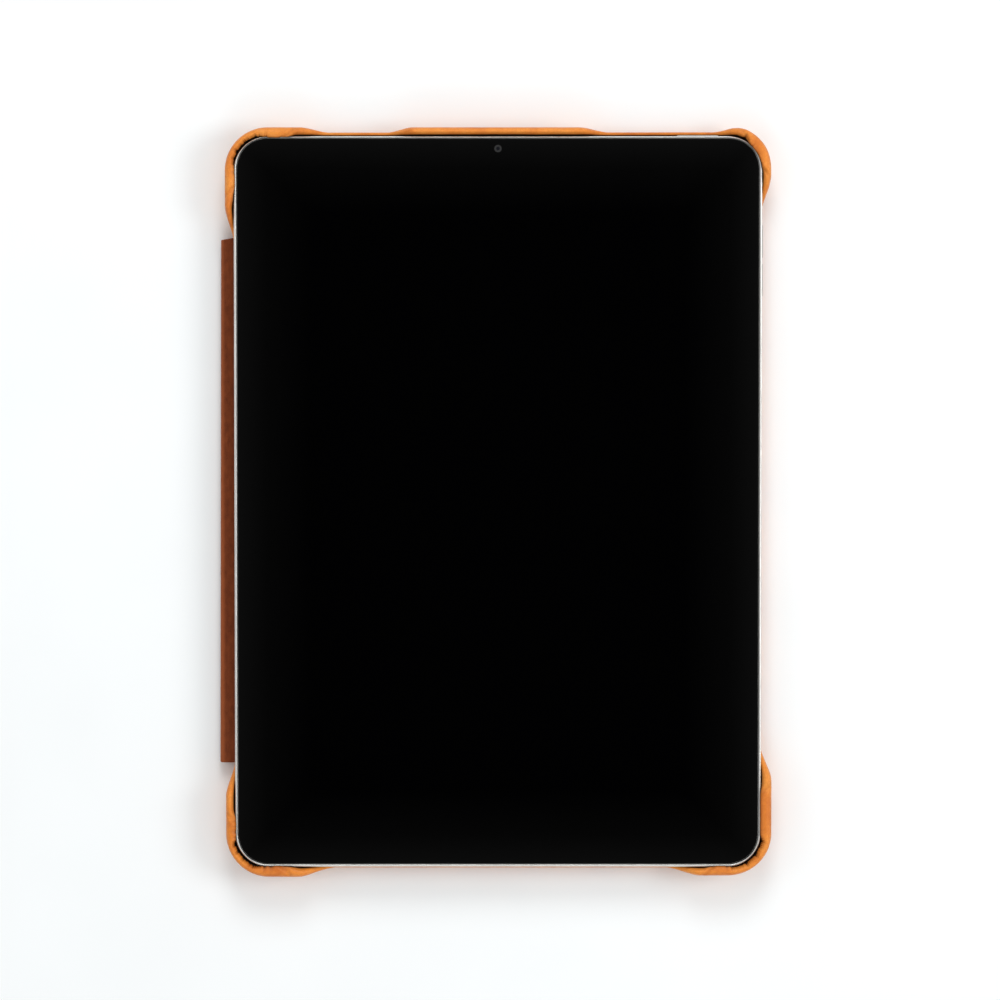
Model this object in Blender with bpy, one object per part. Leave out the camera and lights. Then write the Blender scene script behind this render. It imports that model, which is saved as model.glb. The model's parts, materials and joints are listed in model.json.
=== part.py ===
"""Tablet-style reader in a leather-wrapped folio case, lying on its back with the cover folded behind it.

+X is right, +Y the camera end and +Z out of the screen. The origin is the middle of the face that the
folded cover rests on. Everything is in metres.
"""

import math

import bmesh
import bpy
from mathutils import Matrix, Vector

MM = 0.001
FIT = 0.3 * MM
CORNER_STEPS = 8

# Reader
READER_WIDTH = 178.5 * MM
READER_HEIGHT = 247.6 * MM
READER_THICK = 5.9 * MM
READER_CORNER = 11.5 * MM
HOUSING_WALL = 2.2 * MM
HOUSING_FLOOR = 0.7 * MM
HOUSING_EDGE = 0.6 * MM
RIM_WIDTH = 0.8 * MM
RIM_DROP = 0.1 * MM
GLASS_THICK = 0.7 * MM
GLASS_EDGE = 0.12 * MM
GASKET_THICK = 0.3 * MM
PANEL_THICK = 1.0 * MM
PANEL_INSET = 7.0 * MM
PANEL_CORNER = 4.0 * MM
SHIELD_THICK = 0.3 * MM
SHIELD_INSET = 8.0 * MM
SHIELD_CORNER = 3.0 * MM

# Inside the reader
BATTERY_GAP = 14.0 * MM
BATTERY_WIDTH = 60.0 * MM
BATTERY_END_GAP = 4.0 * MM
BOARD_THICK = 0.6 * MM
BOARD_STEM_WIDTH = 22.0 * MM
BOARD_FROM_TOP = 11.8 * MM
BOARD_FOOT_WIDTH = 60.0 * MM
BOARD_FOOT_HEIGHT = 20.0 * MM
BOARD_FOOT_FROM_BOTTOM = 25.8 * MM
FLEX_THICK = 0.25 * MM
DISPLAY_FLEX_WIDTH = 12.0 * MM
PORT_FLEX_WIDTH = 8.0 * MM
BATTERY_LEAD = (8.0 * MM, 10.0 * MM)
BATTERY_LEAD_UP = 35.0 * MM
PROCESSOR = 14.0 * MM
PROCESSOR_UP = 118.0 * MM
PROCESSOR_CAN_DEPTH = 28.0 * MM
STORAGE = (12.0 * MM, 14.0 * MM)
STORAGE_UP = 87.0 * MM
RADIO_UP = 58.0 * MM
RADIO_CAN_DEPTH = 22.0 * MM
CAN_CORNER = 1.0 * MM
CAN_FROM_EDGE = 1.0 * MM
CAN_CLEARANCE = 0.4 * MM
CAN_WALL = 0.25 * MM
CHIP_HEIGHT = 0.45 * MM
SCREW_HEAD = 2.4 * MM
SCREW_SHANK = 1.2 * MM
SCREW_HEAD_HEIGHT = 0.5 * MM
SCREW_FROM_EDGE = 3.0 * MM
CAMERA_FROM_TOP = 4.5 * MM
CAMERA_ROOM = 0.5 * MM
CAMERA_LENS = 2.6 * MM
CAMERA_WIDTH = 5.0 * MM
LENS_HEIGHT = 1.3 * MM
ANTENNA = (20.0 * MM, 15.0 * MM)
ANTENNA_FROM_SIDE = 15.0 * MM
ANTENNA_FROM_BOTTOM = 10.0 * MM
MICROPHONE = (3.5 * MM, 2.0 * MM, 1.1 * MM)
MICROPHONE_X = -20.0 * MM

# Openings along the reader's edges
SPEAKER_FROM_SIDE = 41.5 * MM
SPEAKER_WIDTH = 22.0 * MM
SPEAKER_DEPTH = 18.0 * MM
SPEAKER_HOLES = 7
SPEAKER_HOLE = 1.3 * MM
SPEAKER_PITCH = 2.7 * MM
PORT_WIDTH = 8.4 * MM
PORT_HEIGHT = 2.6 * MM
PORT_DEPTH = 6.5 * MM
PORT_WALL = 0.2 * MM
PORT_CLEARANCE = 0.2 * MM
TONGUE_WIDTH = 6.7 * MM
TONGUE_THICK = 0.7 * MM
TONGUE_SETBACK = 1.0 * MM

# Buttons
BUTTON_HEIGHT = 1.6 * MM
BUTTON_PROUD = 0.35 * MM
BUTTON_TRAVEL = 0.3 * MM
BUTTON_FLANGE = 0.5 * MM
BUTTON_MIDDLE = 2.8 * MM
POWER_LENGTH = 14.0 * MM
POWER_FROM_SIDE = 21.85 * MM
VOLUME_LENGTH = 11.0 * MM
VOLUME_FROM_TOP = (35.5 * MM, 48.5 * MM)
SWITCH_DEPTH = 1.9 * MM
SWITCH_WIDTH = 4.0 * MM
FLANGE_OVERLAP = 1.0 * MM
BRACKET_THICK = 0.5 * MM

# Folio case
LEATHER = 0.8 * MM
CORE_FLOOR = 1.2 * MM
LINER = 0.5 * MM
GRIP_CORE = 1.05 * MM
WAIST_CORE = 0.45 * MM
GRIP_FLARE = 0.6 * MM
LIP_RISE = 1.3 * MM
RIM_ROUND = 2.3 * MM
RIM_MIDDLE = 0.29
POCKET_RISE = (0.1, 0.34, 0.6)
CORE_FOOT_ROUND = 0.15 * MM
NOTCH_FLOOR = 0.4 * MM
NOTCH_MIDDLE = 0.6
NOTCH_SPREAD = 1.3
NOTCH_REACH = 10.0 * MM
CLIP_FROM_SIDE = 52.0 * MM
TOP_LEFT_GAP = 20.3 * MM
TOP_LEFT_RAMPS = (9.0 * MM, 8.1 * MM)
TOP_RIGHT_GAP = 35.8 * MM
TOP_RIGHT_RAMPS = (9.4 * MM, 9.0 * MM)
BOTTOM_FROM_CORNERS = (33.7 * MM, 31.7 * MM)
BOTTOM_RAMPS = (11.5 * MM, 10.9 * MM)
LEFT_RAMPS = (10.3 * MM, 11.2 * MM)
RIGHT_FROM_CORNERS = (41.2 * MM, 26.0 * MM)
RIGHT_RAMPS = (10.1 * MM, 12.5 * MM)
TRIM_REACH = 8.0 * MM
TRIM_SPREAD = 2.3
LEFT_TRIM = 0.05 * MM
RIGHT_TRIM = -0.35 * MM

# Folded cover and its hinge strip
LINING = 0.6 * MM
COVER_BOARD = 1.2 * MM
COVER_GAP = 0.4 * MM
COVER_CORNER = 10.0 * MM
COVER_OVERHANG = 0.7 * MM
COVER_CLEARANCE = 0.36 * MM
COVER_FREE_EDGE = 0.25 * MM
COVER_SETBACK = 0.5 * MM
MAGNET = 8.0 * MM
MAGNET_FROM_EDGE = 11.0 * MM
MAGNET_FROM_ENDS = (24.5 * MM, 74.5 * MM)
STRIP_THICK = 1.2 * MM
STRIP_FROM_READER = 0.75 * MM
STRIP_UPPER = 3.25 * MM
STRIP_LOWER = 5.25 * MM
STRIP_FROM_ENDS = 34.8 * MM
STRIP_FOLD_ROOM = 0.7 * MM
STRIP_END_ROOM = 0.45 * MM
OPEN_ANGLE = math.radians(60)

# Heights, from the resting face up
COVER_THICK = LINING + FIT + COVER_BOARD + FIT + LEATHER
SHELL_Z = COVER_THICK + COVER_GAP
CORE_Z = SHELL_Z + LEATHER + FIT
LINER_Z = CORE_Z + CORE_FLOOR + FIT
READER_Z = LINER_Z + LINER + FIT
READER_TOP = READER_Z + READER_THICK
LIP_TOP = READER_TOP + LIP_RISE
CAVITY_Z = READER_Z + HOUSING_FLOOR + FIT
GLASS_Z = READER_TOP - GLASS_THICK
GASKET_Z = GLASS_Z - FIT - GASKET_THICK
LEDGE_Z = GASKET_Z - FIT
PANEL_Z = GLASS_Z - FIT - PANEL_THICK
SHIELD_Z = PANEL_Z - FIT - SHIELD_THICK
CELL_THICK = SHIELD_Z - FIT - CAVITY_Z
ON_BOARD_Z = CAVITY_Z + BOARD_THICK + FIT
CAN_HEIGHT = SHIELD_Z - CAN_CLEARANCE - ON_BOARD_Z
BUTTON_Z = READER_Z + BUTTON_MIDDLE

# Plan
HALF_WIDTH = READER_WIDTH / 2
HALF_HEIGHT = READER_HEIGHT / 2
INNER_X = HALF_WIDTH - HOUSING_WALL
INNER_Y = HALF_HEIGHT - HOUSING_WALL
BOARD_FOOT_Y = -HALF_HEIGHT + BOARD_FOOT_FROM_BOTTOM
SHOULDER_Y = BOARD_FOOT_Y + BOARD_FOOT_HEIGHT
STRIP_HALF = HALF_HEIGHT - STRIP_FROM_ENDS
STRIP_EDGE = (LIP_TOP + COVER_CLEARANCE - math.sin(OPEN_ANGLE) * (STRIP_UPPER + STRIP_LOWER)) / 2

# Hinge lines, in (x, z), from the shell round to the cover
LOWER_Z = FIT + STRIP_THICK / 2
SHELL_HINGE = Vector((-HALF_WIDTH - STRIP_FROM_READER, LOWER_Z + STRIP_EDGE))
UPPER_FOLD = SHELL_HINGE - Vector((STRIP_UPPER, 0))
LOWER_FOLD = UPPER_FOLD - Vector((0, STRIP_EDGE))
COVER_HINGE = LOWER_FOLD + Vector((STRIP_LOWER, 0))


def material(name, colour, roughness, metallic=0.0):
    """A plain finish, the colour in linear red, green and blue."""
    made = bpy.data.materials.new(name)
    made.use_nodes = True
    shader = made.node_tree.nodes["Principled BSDF"]
    shader.inputs["Base Color"].default_value = (*colour, 1.0)
    shader.inputs["Roughness"].default_value = roughness
    shader.inputs["Metallic"].default_value = metallic
    return made


def solid(name, bm, finish, pivot=None, turn=None):
    """Makes a bmesh a named object, turned first. A pivot moves the object's origin and leaves the shape."""
    if turn is not None:
        bmesh.ops.transform(bm, matrix=turn, verts=bm.verts)
    bmesh.ops.recalc_face_normals(bm, faces=bm.faces)
    if pivot is not None:
        bmesh.ops.translate(bm, verts=bm.verts, vec=-pivot)
    mesh = bpy.data.meshes.new(name)
    bm.to_mesh(mesh)
    bm.free()
    mesh.shade_smooth()
    mesh.set_sharp_from_angle(angle=math.radians(35))
    made = bpy.data.objects.new(name, mesh)
    bpy.context.scene.collection.objects.link(made)
    if finish is not None:
        mesh.materials.append(finish)
    if pivot is not None:
        made.location = pivot
    return made


def cutter(name, bm):
    """A shape that is only subtracted from others."""
    made = solid(name, bm, None)
    made.hide_render = True
    made.display_type = "WIRE"
    return made


def cut(piece, *tools):
    for tool in tools:
        modifier = piece.modifiers.new("cut_" + tool.name, "BOOLEAN")
        modifier.operation = "DIFFERENCE"
        modifier.object = tool


def outline(half_x, half_y, radius, steps=CORNER_STEPS):
    """Points of a rounded rectangle about the origin, counter-clockwise."""
    points = []
    for corner, (side_x, side_y) in enumerate(((1, 1), (-1, 1), (-1, -1), (1, -1))):
        centre = Vector((side_x * (half_x - radius), side_y * (half_y - radius)))
        for step in range(steps + 1):
            angle = math.radians(90 * (corner + step / steps))
            points.append(centre + radius * Vector((math.cos(angle), math.sin(angle))))
    return points


def reader_outline(outward):
    """The reader's plan, grown outward."""
    return outline(HALF_WIDTH + outward, HALF_HEIGHT + outward, READER_CORNER + outward)


def circle(radius, steps=12):
    turn = 2 * math.pi / steps
    return [radius * Vector((math.cos(turn * step), math.sin(turn * step))) for step in range(steps)]


def prism(bm, points, low, high, centre=(0, 0)):
    """A plan outline raised from one height to another."""
    base = [bm.verts.new((point[0] + centre[0], point[1] + centre[1], low)) for point in points]
    face = bm.faces.new(base)
    raised = bmesh.ops.extrude_face_region(bm, geom=[face])["geom"]
    top = [item for item in raised if isinstance(item, bmesh.types.BMVert)]
    bmesh.ops.translate(bm, verts=top, vec=(0, 0, high - low))


def box(bm, size, centre, low):
    """A block by its width and depth, its plan centre, its underside and its height, size = (x, y, z)."""
    prism(bm, outline(size[0] / 2, size[1] / 2, 0.0, steps=1)[::2], low, low + size[2], centre)


def loft(bm, rings, closed=False):
    """Skins rings of points in turn, and caps the two ends or joins them."""
    loops = [[bm.verts.new(point) for point in ring] for ring in rings]
    pairs = list(zip(loops, loops[1:]))
    if closed:
        pairs.append((loops[-1], loops[0]))
    for first, second in pairs:
        for index in range(len(first)):
            after = (index + 1) % len(first)
            bm.faces.new((first[index], first[after], second[after], second[index]))
    if not closed:
        bm.faces.new(loops[0])
        bm.faces.new(loops[-1])


def tray(bm, profile, closed=False):
    """A (outward, height) profile carried round the reader's plan."""
    loft(bm, [[(p.x, p.y, height) for p in reader_outline(outward)] for outward, height in profile], closed)


def plate(name, half_x, half_y, radius, low, thick, finish, centre=(0, 0), steps=4):
    bm = bmesh.new()
    prism(bm, outline(half_x, half_y, radius, steps), low, low + thick, centre)
    return solid(name, bm, finish)


def block(name, size, centre, low, finish, turn=None):
    bm = bmesh.new()
    box(bm, size, centre, low)
    return solid(name, bm, finish, turn=turn)


def inset_profile(profile, distance):
    """A profile moved in from its outer side by an even distance, mitred at its points."""
    points = [Vector(point) for point in profile]
    moved = []
    for index, point in enumerate(points):
        before = (point - points[max(index - 1, 0)]).normalized()
        after = (points[min(index + 1, len(points) - 1)] - point).normalized()
        along = (before + after).normalized()
        side = after if index == 0 else before
        inward = Vector((-along.y, along.x))
        moved.append(point + inward * (distance / max(inward.dot(Vector((-side.y, side.x))), 0.5)))
    return moved


def grip_side():
    """Outside of the leather from the floor up past the grip's widest point, as (outward, height)."""
    foot_round = LEATHER + FIT + CORE_FOOT_ROUND
    foot = WAIST_CORE + LEATHER - foot_round - FIT / 2
    points = [(foot - 2 * foot_round, SHELL_Z)]
    for step in range(4):
        angle = math.radians(-90 + 30 * step)
        reach = Vector((math.cos(angle), 1 + math.sin(angle))) * foot_round
        points.append((foot + reach.x, SHELL_Z + reach.y))
    points.append((WAIST_CORE + LEATHER + FIT / 6, READER_Z - FIT))
    points += [rim_point(angle) for angle in range(-50, 51, 20)]
    return points


def rim_point(degrees):
    """A point on the rounded rim, an ellipse whose top is the lip's highest line."""
    widest = FIT + GRIP_FLARE + GRIP_CORE + LEATHER + FIT
    height = LIP_RISE + READER_THICK * RIM_MIDDLE
    angle = math.radians(degrees)
    across = widest - RIM_ROUND * (1 - math.cos(angle))
    return (across, LIP_TOP - height * (1 - math.sin(angle)))


def notch(bm, side, start, end, ramps):
    """Lowers a wall between two places along it, with a rising ramp past each of them."""
    low = READER_Z - NOTCH_FLOOR
    middle = READER_Z + READER_THICK * NOTCH_MIDDLE
    top = LIP_TOP + NOTCH_REACH
    before, after = ramps
    points = [
        (start, low),
        (end, low),
        (end + after, middle),
        (end + after * NOTCH_SPREAD, LIP_TOP + FIT),
        (end + after * NOTCH_SPREAD, top),
        (start - before * NOTCH_SPREAD, top),
        (start - before * NOTCH_SPREAD, LIP_TOP + FIT),
        (start - before, middle),
    ]
    horizontal = side in ("top", "bottom")
    half = HALF_HEIGHT if horizontal else HALF_WIDTH
    sign = 1 if side in ("top", "right") else -1
    inner, outer = sorted((sign * (half - NOTCH_REACH), sign * (half + NOTCH_REACH)))
    turn = Matrix.Rotation(math.radians(90), 4, "X")
    if not horizontal:
        turn = Matrix.Rotation(math.radians(90), 4, "Z") @ turn
    part = bmesh.new()
    if horizontal:
        prism(part, points, -outer, -inner)
    else:
        prism(part, points, inner, outer)
    bmesh.ops.transform(part, matrix=turn, verts=part.verts)
    mesh = bpy.data.meshes.new("notch")
    part.to_mesh(mesh)
    part.free()
    bm.from_mesh(mesh)
    bpy.data.meshes.remove(mesh)


def clear_scene():
    for old in list(bpy.data.objects):
        bpy.data.objects.remove(old, do_unlink=True)


def build_housing(aluminium):
    """Milled tray: a floor, four walls with a stepped rim for the glass, and its slots and grilles."""
    bm = bmesh.new()
    profile = [
        (-HOUSING_EDGE, READER_Z),
        (-HOUSING_EDGE / 3, READER_Z + HOUSING_EDGE * 0.4),
        (0, READER_Z + HOUSING_EDGE * 1.1),
        (0, READER_TOP - 3 * RIM_DROP),
        (-RIM_DROP, READER_TOP - RIM_DROP),
        (-RIM_WIDTH, READER_TOP - RIM_DROP),
        (-RIM_WIDTH, LEDGE_Z),
        (-HOUSING_WALL, LEDGE_Z),
        (-HOUSING_WALL, READER_Z + HOUSING_FLOOR),
    ]
    tray(bm, profile)
    housing = solid("rear_housing", bm, aluminium)
    holes = bmesh.new()
    along_y = Matrix.Rotation(math.radians(90), 4, "X")
    depth = 2 * HOUSING_WALL
    for side_x in (-1, 1):
        for side_y in (-1, 1):
            for step in range(SPEAKER_HOLES):
                shift = (step - (SPEAKER_HOLES - 1) / 2) * SPEAKER_PITCH
                across = side_x * (HALF_WIDTH - SPEAKER_FROM_SIDE) + shift
                start = -side_y * (HALF_HEIGHT - HOUSING_WALL / 2)
                centre = (across, READER_Z + READER_THICK / 2 - FIT)
                prism(holes, circle(SPEAKER_HOLE / 2, 8), start - depth / 2, start + depth / 2, centre)
    port = outline(PORT_WIDTH / 2 + PORT_WALL + PORT_CLEARANCE, port_half_height() + PORT_CLEARANCE,
                   port_half_height() + PORT_CLEARANCE, 5)
    start = HALF_HEIGHT - HOUSING_WALL / 2
    prism(holes, port, start - depth / 2, start + depth / 2, (0, port_z()))
    bmesh.ops.transform(holes, matrix=along_y, verts=holes.verts)
    slot_height = BUTTON_HEIGHT + 2 * FIT
    low = BUTTON_Z - slot_height / 2
    power = HALF_WIDTH - POWER_FROM_SIDE
    box(holes, (POWER_LENGTH + 2 * FIT, depth, slot_height), (power, HALF_HEIGHT - HOUSING_WALL / 2), low)
    for from_top in VOLUME_FROM_TOP:
        place = (HALF_WIDTH - HOUSING_WALL / 2, HALF_HEIGHT - from_top)
        box(holes, (depth, VOLUME_LENGTH + 2 * FIT, slot_height), place, low)
    cut(housing, cutter("housing_openings", holes))


def port_half_height():
    return PORT_HEIGHT / 2 + PORT_WALL


def port_z():
    return CAVITY_Z + port_half_height()


def build_display(glass, lcd, foam, steel, black):
    bm = bmesh.new()
    edge = -RIM_WIDTH - FIT
    tray(bm, [(edge, GLASS_Z), (edge, READER_TOP - GLASS_EDGE), (edge - GLASS_EDGE, READER_TOP)])
    solid("cover_glass", bm, glass)
    bm = bmesh.new()
    outer, inner = edge, -HOUSING_WALL + FIT
    top = GASKET_Z + GASKET_THICK
    tray(bm, [(outer, GASKET_Z), (outer, top), (inner, top), (inner, GASKET_Z)], closed=True)
    solid("display_gasket", bm, foam)
    plate("display_panel", HALF_WIDTH - PANEL_INSET, HALF_HEIGHT - PANEL_INSET, PANEL_CORNER, PANEL_Z,
          PANEL_THICK, lcd)
    plate("display_shield", HALF_WIDTH - SHIELD_INSET, HALF_HEIGHT - SHIELD_INSET, SHIELD_CORNER, SHIELD_Z,
          SHIELD_THICK, steel)
    camera = (0, HALF_HEIGHT - CAMERA_FROM_TOP)
    depth = 2 * (CAMERA_FROM_TOP - HOUSING_WALL - CAMERA_ROOM)
    lens_z = GLASS_Z - FIT - LENS_HEIGHT
    block("front_camera", (CAMERA_WIDTH, depth, lens_z - FIT - CAVITY_Z), camera, CAVITY_Z, black)
    bm = bmesh.new()
    prism(bm, circle(CAMERA_LENS / 2, 20), lens_z, GLASS_Z - FIT, camera)
    solid("camera_lens", bm, black)


def build_logic_board(pcb, steel):
    """A board with a stem between the batteries and a foot below them, held by four screws."""
    top = HALF_HEIGHT - BOARD_FROM_TOP
    half_foot, half_stem = BOARD_FOOT_WIDTH / 2, BOARD_STEM_WIDTH / 2
    right = [(half_foot, BOARD_FOOT_Y), (half_foot, SHOULDER_Y), (half_stem, SHOULDER_Y), (half_stem, top)]
    bm = bmesh.new()
    prism(bm, right + [(-x, y) for x, y in right[::-1]], CAVITY_Z, CAVITY_Z + BOARD_THICK)
    board = solid("logic_board", bm, pcb)
    inset = SCREW_FROM_EDGE
    places = [(side * (half_stem - inset), top - inset) for side in (-1, 1)]
    places += [(side * (half_foot - inset), BOARD_FOOT_Y + inset) for side in (-1, 1)]
    holes = bmesh.new()
    for number, (x, y) in enumerate(places, 1):
        prism(holes, circle(SCREW_SHANK / 2 + FIT), CAVITY_Z - FIT, CAVITY_Z + BOARD_THICK + FIT, (x, y))
        bm = bmesh.new()
        heights = (CAVITY_Z, ON_BOARD_Z, ON_BOARD_Z, ON_BOARD_Z + SCREW_HEAD_HEIGHT)
        radii = (SCREW_SHANK / 2, SCREW_SHANK / 2, SCREW_HEAD / 2, SCREW_HEAD / 2)
        loft(bm, [[(x + p.x, y + p.y, z) for p in circle(r)] for z, r in zip(heights, radii)])
        solid(f"board_screw_{number}", bm, steel)
    cut(board, cutter("board_screw_holes", holes))


def build_chips(steel, chip):
    """The processor and radio under open-bottomed cans, and the storage chip between them."""
    block("processor", (PROCESSOR, PROCESSOR, CHIP_HEIGHT), (0, SHOULDER_Y + PROCESSOR_UP), ON_BOARD_Z, chip)
    block("storage_chip", (*STORAGE, 2 * CHIP_HEIGHT), (0, SHOULDER_Y + STORAGE_UP), ON_BOARD_Z, chip)
    half_x = BOARD_STEM_WIDTH / 2 - CAN_FROM_EDGE
    cans = (("processor_can", PROCESSOR_CAN_DEPTH, PROCESSOR_UP), ("radio_can", RADIO_CAN_DEPTH, RADIO_UP))
    for name, depth, up in cans:
        centre = (0, SHOULDER_Y + up)
        can = plate(name, half_x, depth / 2, CAN_CORNER, ON_BOARD_Z, CAN_HEIGHT, steel, centre, 2)
        hollow = bmesh.new()
        inner = outline(half_x - CAN_WALL, depth / 2 - CAN_WALL, CAN_CORNER - CAN_WALL, 2)
        prism(hollow, inner, ON_BOARD_Z - FIT, ON_BOARD_Z + CAN_HEIGHT - CAN_WALL, centre)
        cut(can, cutter(name + "_hollow", hollow))


def build_flexes(flex):
    """The display's ribbon, folded down past the panel's lower edge, and the socket's ribbon."""
    bend = -HALF_HEIGHT + PANEL_INSET - FIT
    end = (BOARD_FOOT_Y + SHOULDER_Y) / 2
    top = PANEL_Z + PANEL_THICK - FIT
    points = [
        (bend - FLEX_THICK, ON_BOARD_Z),
        (end, ON_BOARD_Z),
        (end, ON_BOARD_Z + FLEX_THICK),
        (bend, ON_BOARD_Z + FLEX_THICK),
        (bend, top),
        (bend - FLEX_THICK, top),
    ]
    start = BOARD_STEM_WIDTH / 2 + 3 * FIT
    bm = bmesh.new()
    prism(bm, points, start, start + DISPLAY_FLEX_WIDTH)
    turn = Matrix(((0, 0, 1, 0), (1, 0, 0, 0), (0, 1, 0, 0), (0, 0, 0, 1)))
    solid("display_flex", bm, flex, turn=turn)
    start = -HALF_HEIGHT + PORT_DEPTH + 2 * FIT
    reach = BOARD_FOOT_Y - FIT - start
    block("port_flex", (PORT_FLEX_WIDTH, reach, FLEX_THICK), (0, start + reach / 2), CAVITY_Z, flex)


def build_power(pouch, flex):
    low = SHOULDER_Y + BATTERY_END_GAP
    high = INNER_Y - FIT - SPEAKER_DEPTH - BATTERY_END_GAP
    for name, side in (("left", -1), ("right", 1)):
        centre = (side * (BATTERY_GAP + BATTERY_WIDTH / 2), (low + high) / 2)
        plate("battery_" + name, BATTERY_WIDTH / 2, (high - low) / 2, 2 * MM, CAVITY_Z, CELL_THICK, pouch,
              centre, 3)
        centre = (side * (BATTERY_GAP - FIT - BATTERY_LEAD[0] / 2), SHOULDER_Y + BATTERY_LEAD_UP)
        block("battery_lead_" + name, (*BATTERY_LEAD, FLEX_THICK), centre, ON_BOARD_Z, flex)


def build_sound_and_radio(black, steel, flex):
    y = INNER_Y - FIT - SPEAKER_DEPTH / 2
    for row, side_y in (("top", 1), ("bottom", -1)):
        for column, side_x in (("left", -1), ("right", 1)):
            centre = (side_x * (HALF_WIDTH - SPEAKER_FROM_SIDE), side_y * y)
            plate(f"speaker_{row}_{column}", SPEAKER_WIDTH / 2, SPEAKER_DEPTH / 2, 2 * MM, CAVITY_Z,
                  CELL_THICK, black, centre, 3)
    for column, side_x in (("left", -1), ("right", 1)):
        centre = (side_x * (INNER_X - ANTENNA_FROM_SIDE), -INNER_Y + ANTENNA_FROM_BOTTOM)
        block("antenna_" + column, (*ANTENNA, FLEX_THICK), centre, CAVITY_Z, flex)
    block("microphone", MICROPHONE, (MICROPHONE_X, INNER_Y - FIT - MICROPHONE[1] / 2), CAVITY_Z, steel)


def build_port(steel, black):
    """The cable socket: a drawn metal cup with its contact tongue."""
    half = port_half_height()
    mouth, back = -HALF_HEIGHT + FIT, -HALF_HEIGHT + FIT + PORT_DEPTH
    along_y = Matrix.Rotation(math.radians(90), 4, "X")
    bm = bmesh.new()
    prism(bm, outline(PORT_WIDTH / 2 + PORT_WALL, half, half, 5), -back, -mouth, (0, port_z()))
    shell = solid("usb_port_shell", bm, steel, turn=along_y)
    hollow = bmesh.new()
    inner = outline(PORT_WIDTH / 2, PORT_HEIGHT / 2, PORT_HEIGHT / 2, 5)
    prism(hollow, inner, -back + 2 * PORT_WALL, -mouth + FIT, (0, port_z()))
    bmesh.ops.transform(hollow, matrix=along_y, verts=hollow.verts)
    cut(shell, cutter("port_hollow", hollow))
    reach = PORT_DEPTH - 2 * PORT_WALL - FIT - TONGUE_SETBACK
    centre = (0, back - 2 * PORT_WALL - FIT - reach / 2)
    block("usb_port_tongue", (TONGUE_WIDTH, reach, TONGUE_THICK), centre, port_z() - TONGUE_THICK / 2, black)


def build_buttons(aluminium, black, steel):
    """Each button: a cap through the wall with a flange behind it, and the switch that it presses."""
    right = Matrix.Identity(4)
    up = Matrix.Rotation(math.radians(90), 4, "Z")
    buttons = (
        ("power", POWER_LENGTH, up, HALF_HEIGHT, -(HALF_WIDTH - POWER_FROM_SIDE)),
        ("volume_up", VOLUME_LENGTH, right, HALF_WIDTH, HALF_HEIGHT - VOLUME_FROM_TOP[0]),
        ("volume_down", VOLUME_LENGTH, right, HALF_WIDTH, HALF_HEIGHT - VOLUME_FROM_TOP[1]),
    )
    for name, length, turn, face, along in buttons:
        inner = face - HOUSING_WALL - FIT
        half, wide = length / 2, length / 2 + FLANGE_OVERLAP
        points = [
            (face + BUTTON_PROUD, along - half + FIT),
            (face + BUTTON_PROUD, along + half - FIT),
            (face + BUTTON_PROUD / 2, along + half),
            (inner, along + half),
            (inner, along + wide),
            (inner - BUTTON_FLANGE, along + wide),
            (inner - BUTTON_FLANGE, along - wide),
            (inner, along - wide),
            (inner, along - half),
            (face + BUTTON_PROUD / 2, along - half),
        ]
        bm = bmesh.new()
        prism(bm, points, BUTTON_Z - BUTTON_HEIGHT / 2, BUTTON_Z + BUTTON_HEIGHT / 2)
        pivot = turn @ Vector((face, along, BUTTON_Z))
        solid(name + "_button", bm, aluminium, pivot=pivot, turn=turn)
        front = inner - BUTTON_FLANGE - BUTTON_TRAVEL - FIT
        block(name + "_switch", (SWITCH_DEPTH, SWITCH_WIDTH, BUTTON_HEIGHT),
              (front - SWITCH_DEPTH / 2, along), BUTTON_Z - BUTTON_HEIGHT / 2, black, turn=turn)
    behind = HOUSING_WALL + 2 * FIT + BUTTON_FLANGE + BUTTON_TRAVEL + SWITCH_DEPTH + FIT + BRACKET_THICK / 2
    height = SHIELD_Z - CAVITY_Z
    upper, lower = VOLUME_FROM_TOP
    middle = HALF_HEIGHT - (upper + lower) / 2
    spans = (
        ("power_bracket", up, HALF_HEIGHT, -(HALF_WIDTH - POWER_FROM_SIDE), POWER_LENGTH),
        ("volume_bracket", right, HALF_WIDTH, middle, lower - upper + VOLUME_LENGTH),
    )
    for name, turn, face, along, length in spans:
        block(name, (BRACKET_THICK, length, height), (face - behind, along), CAVITY_Z, steel, turn=turn)


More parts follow.
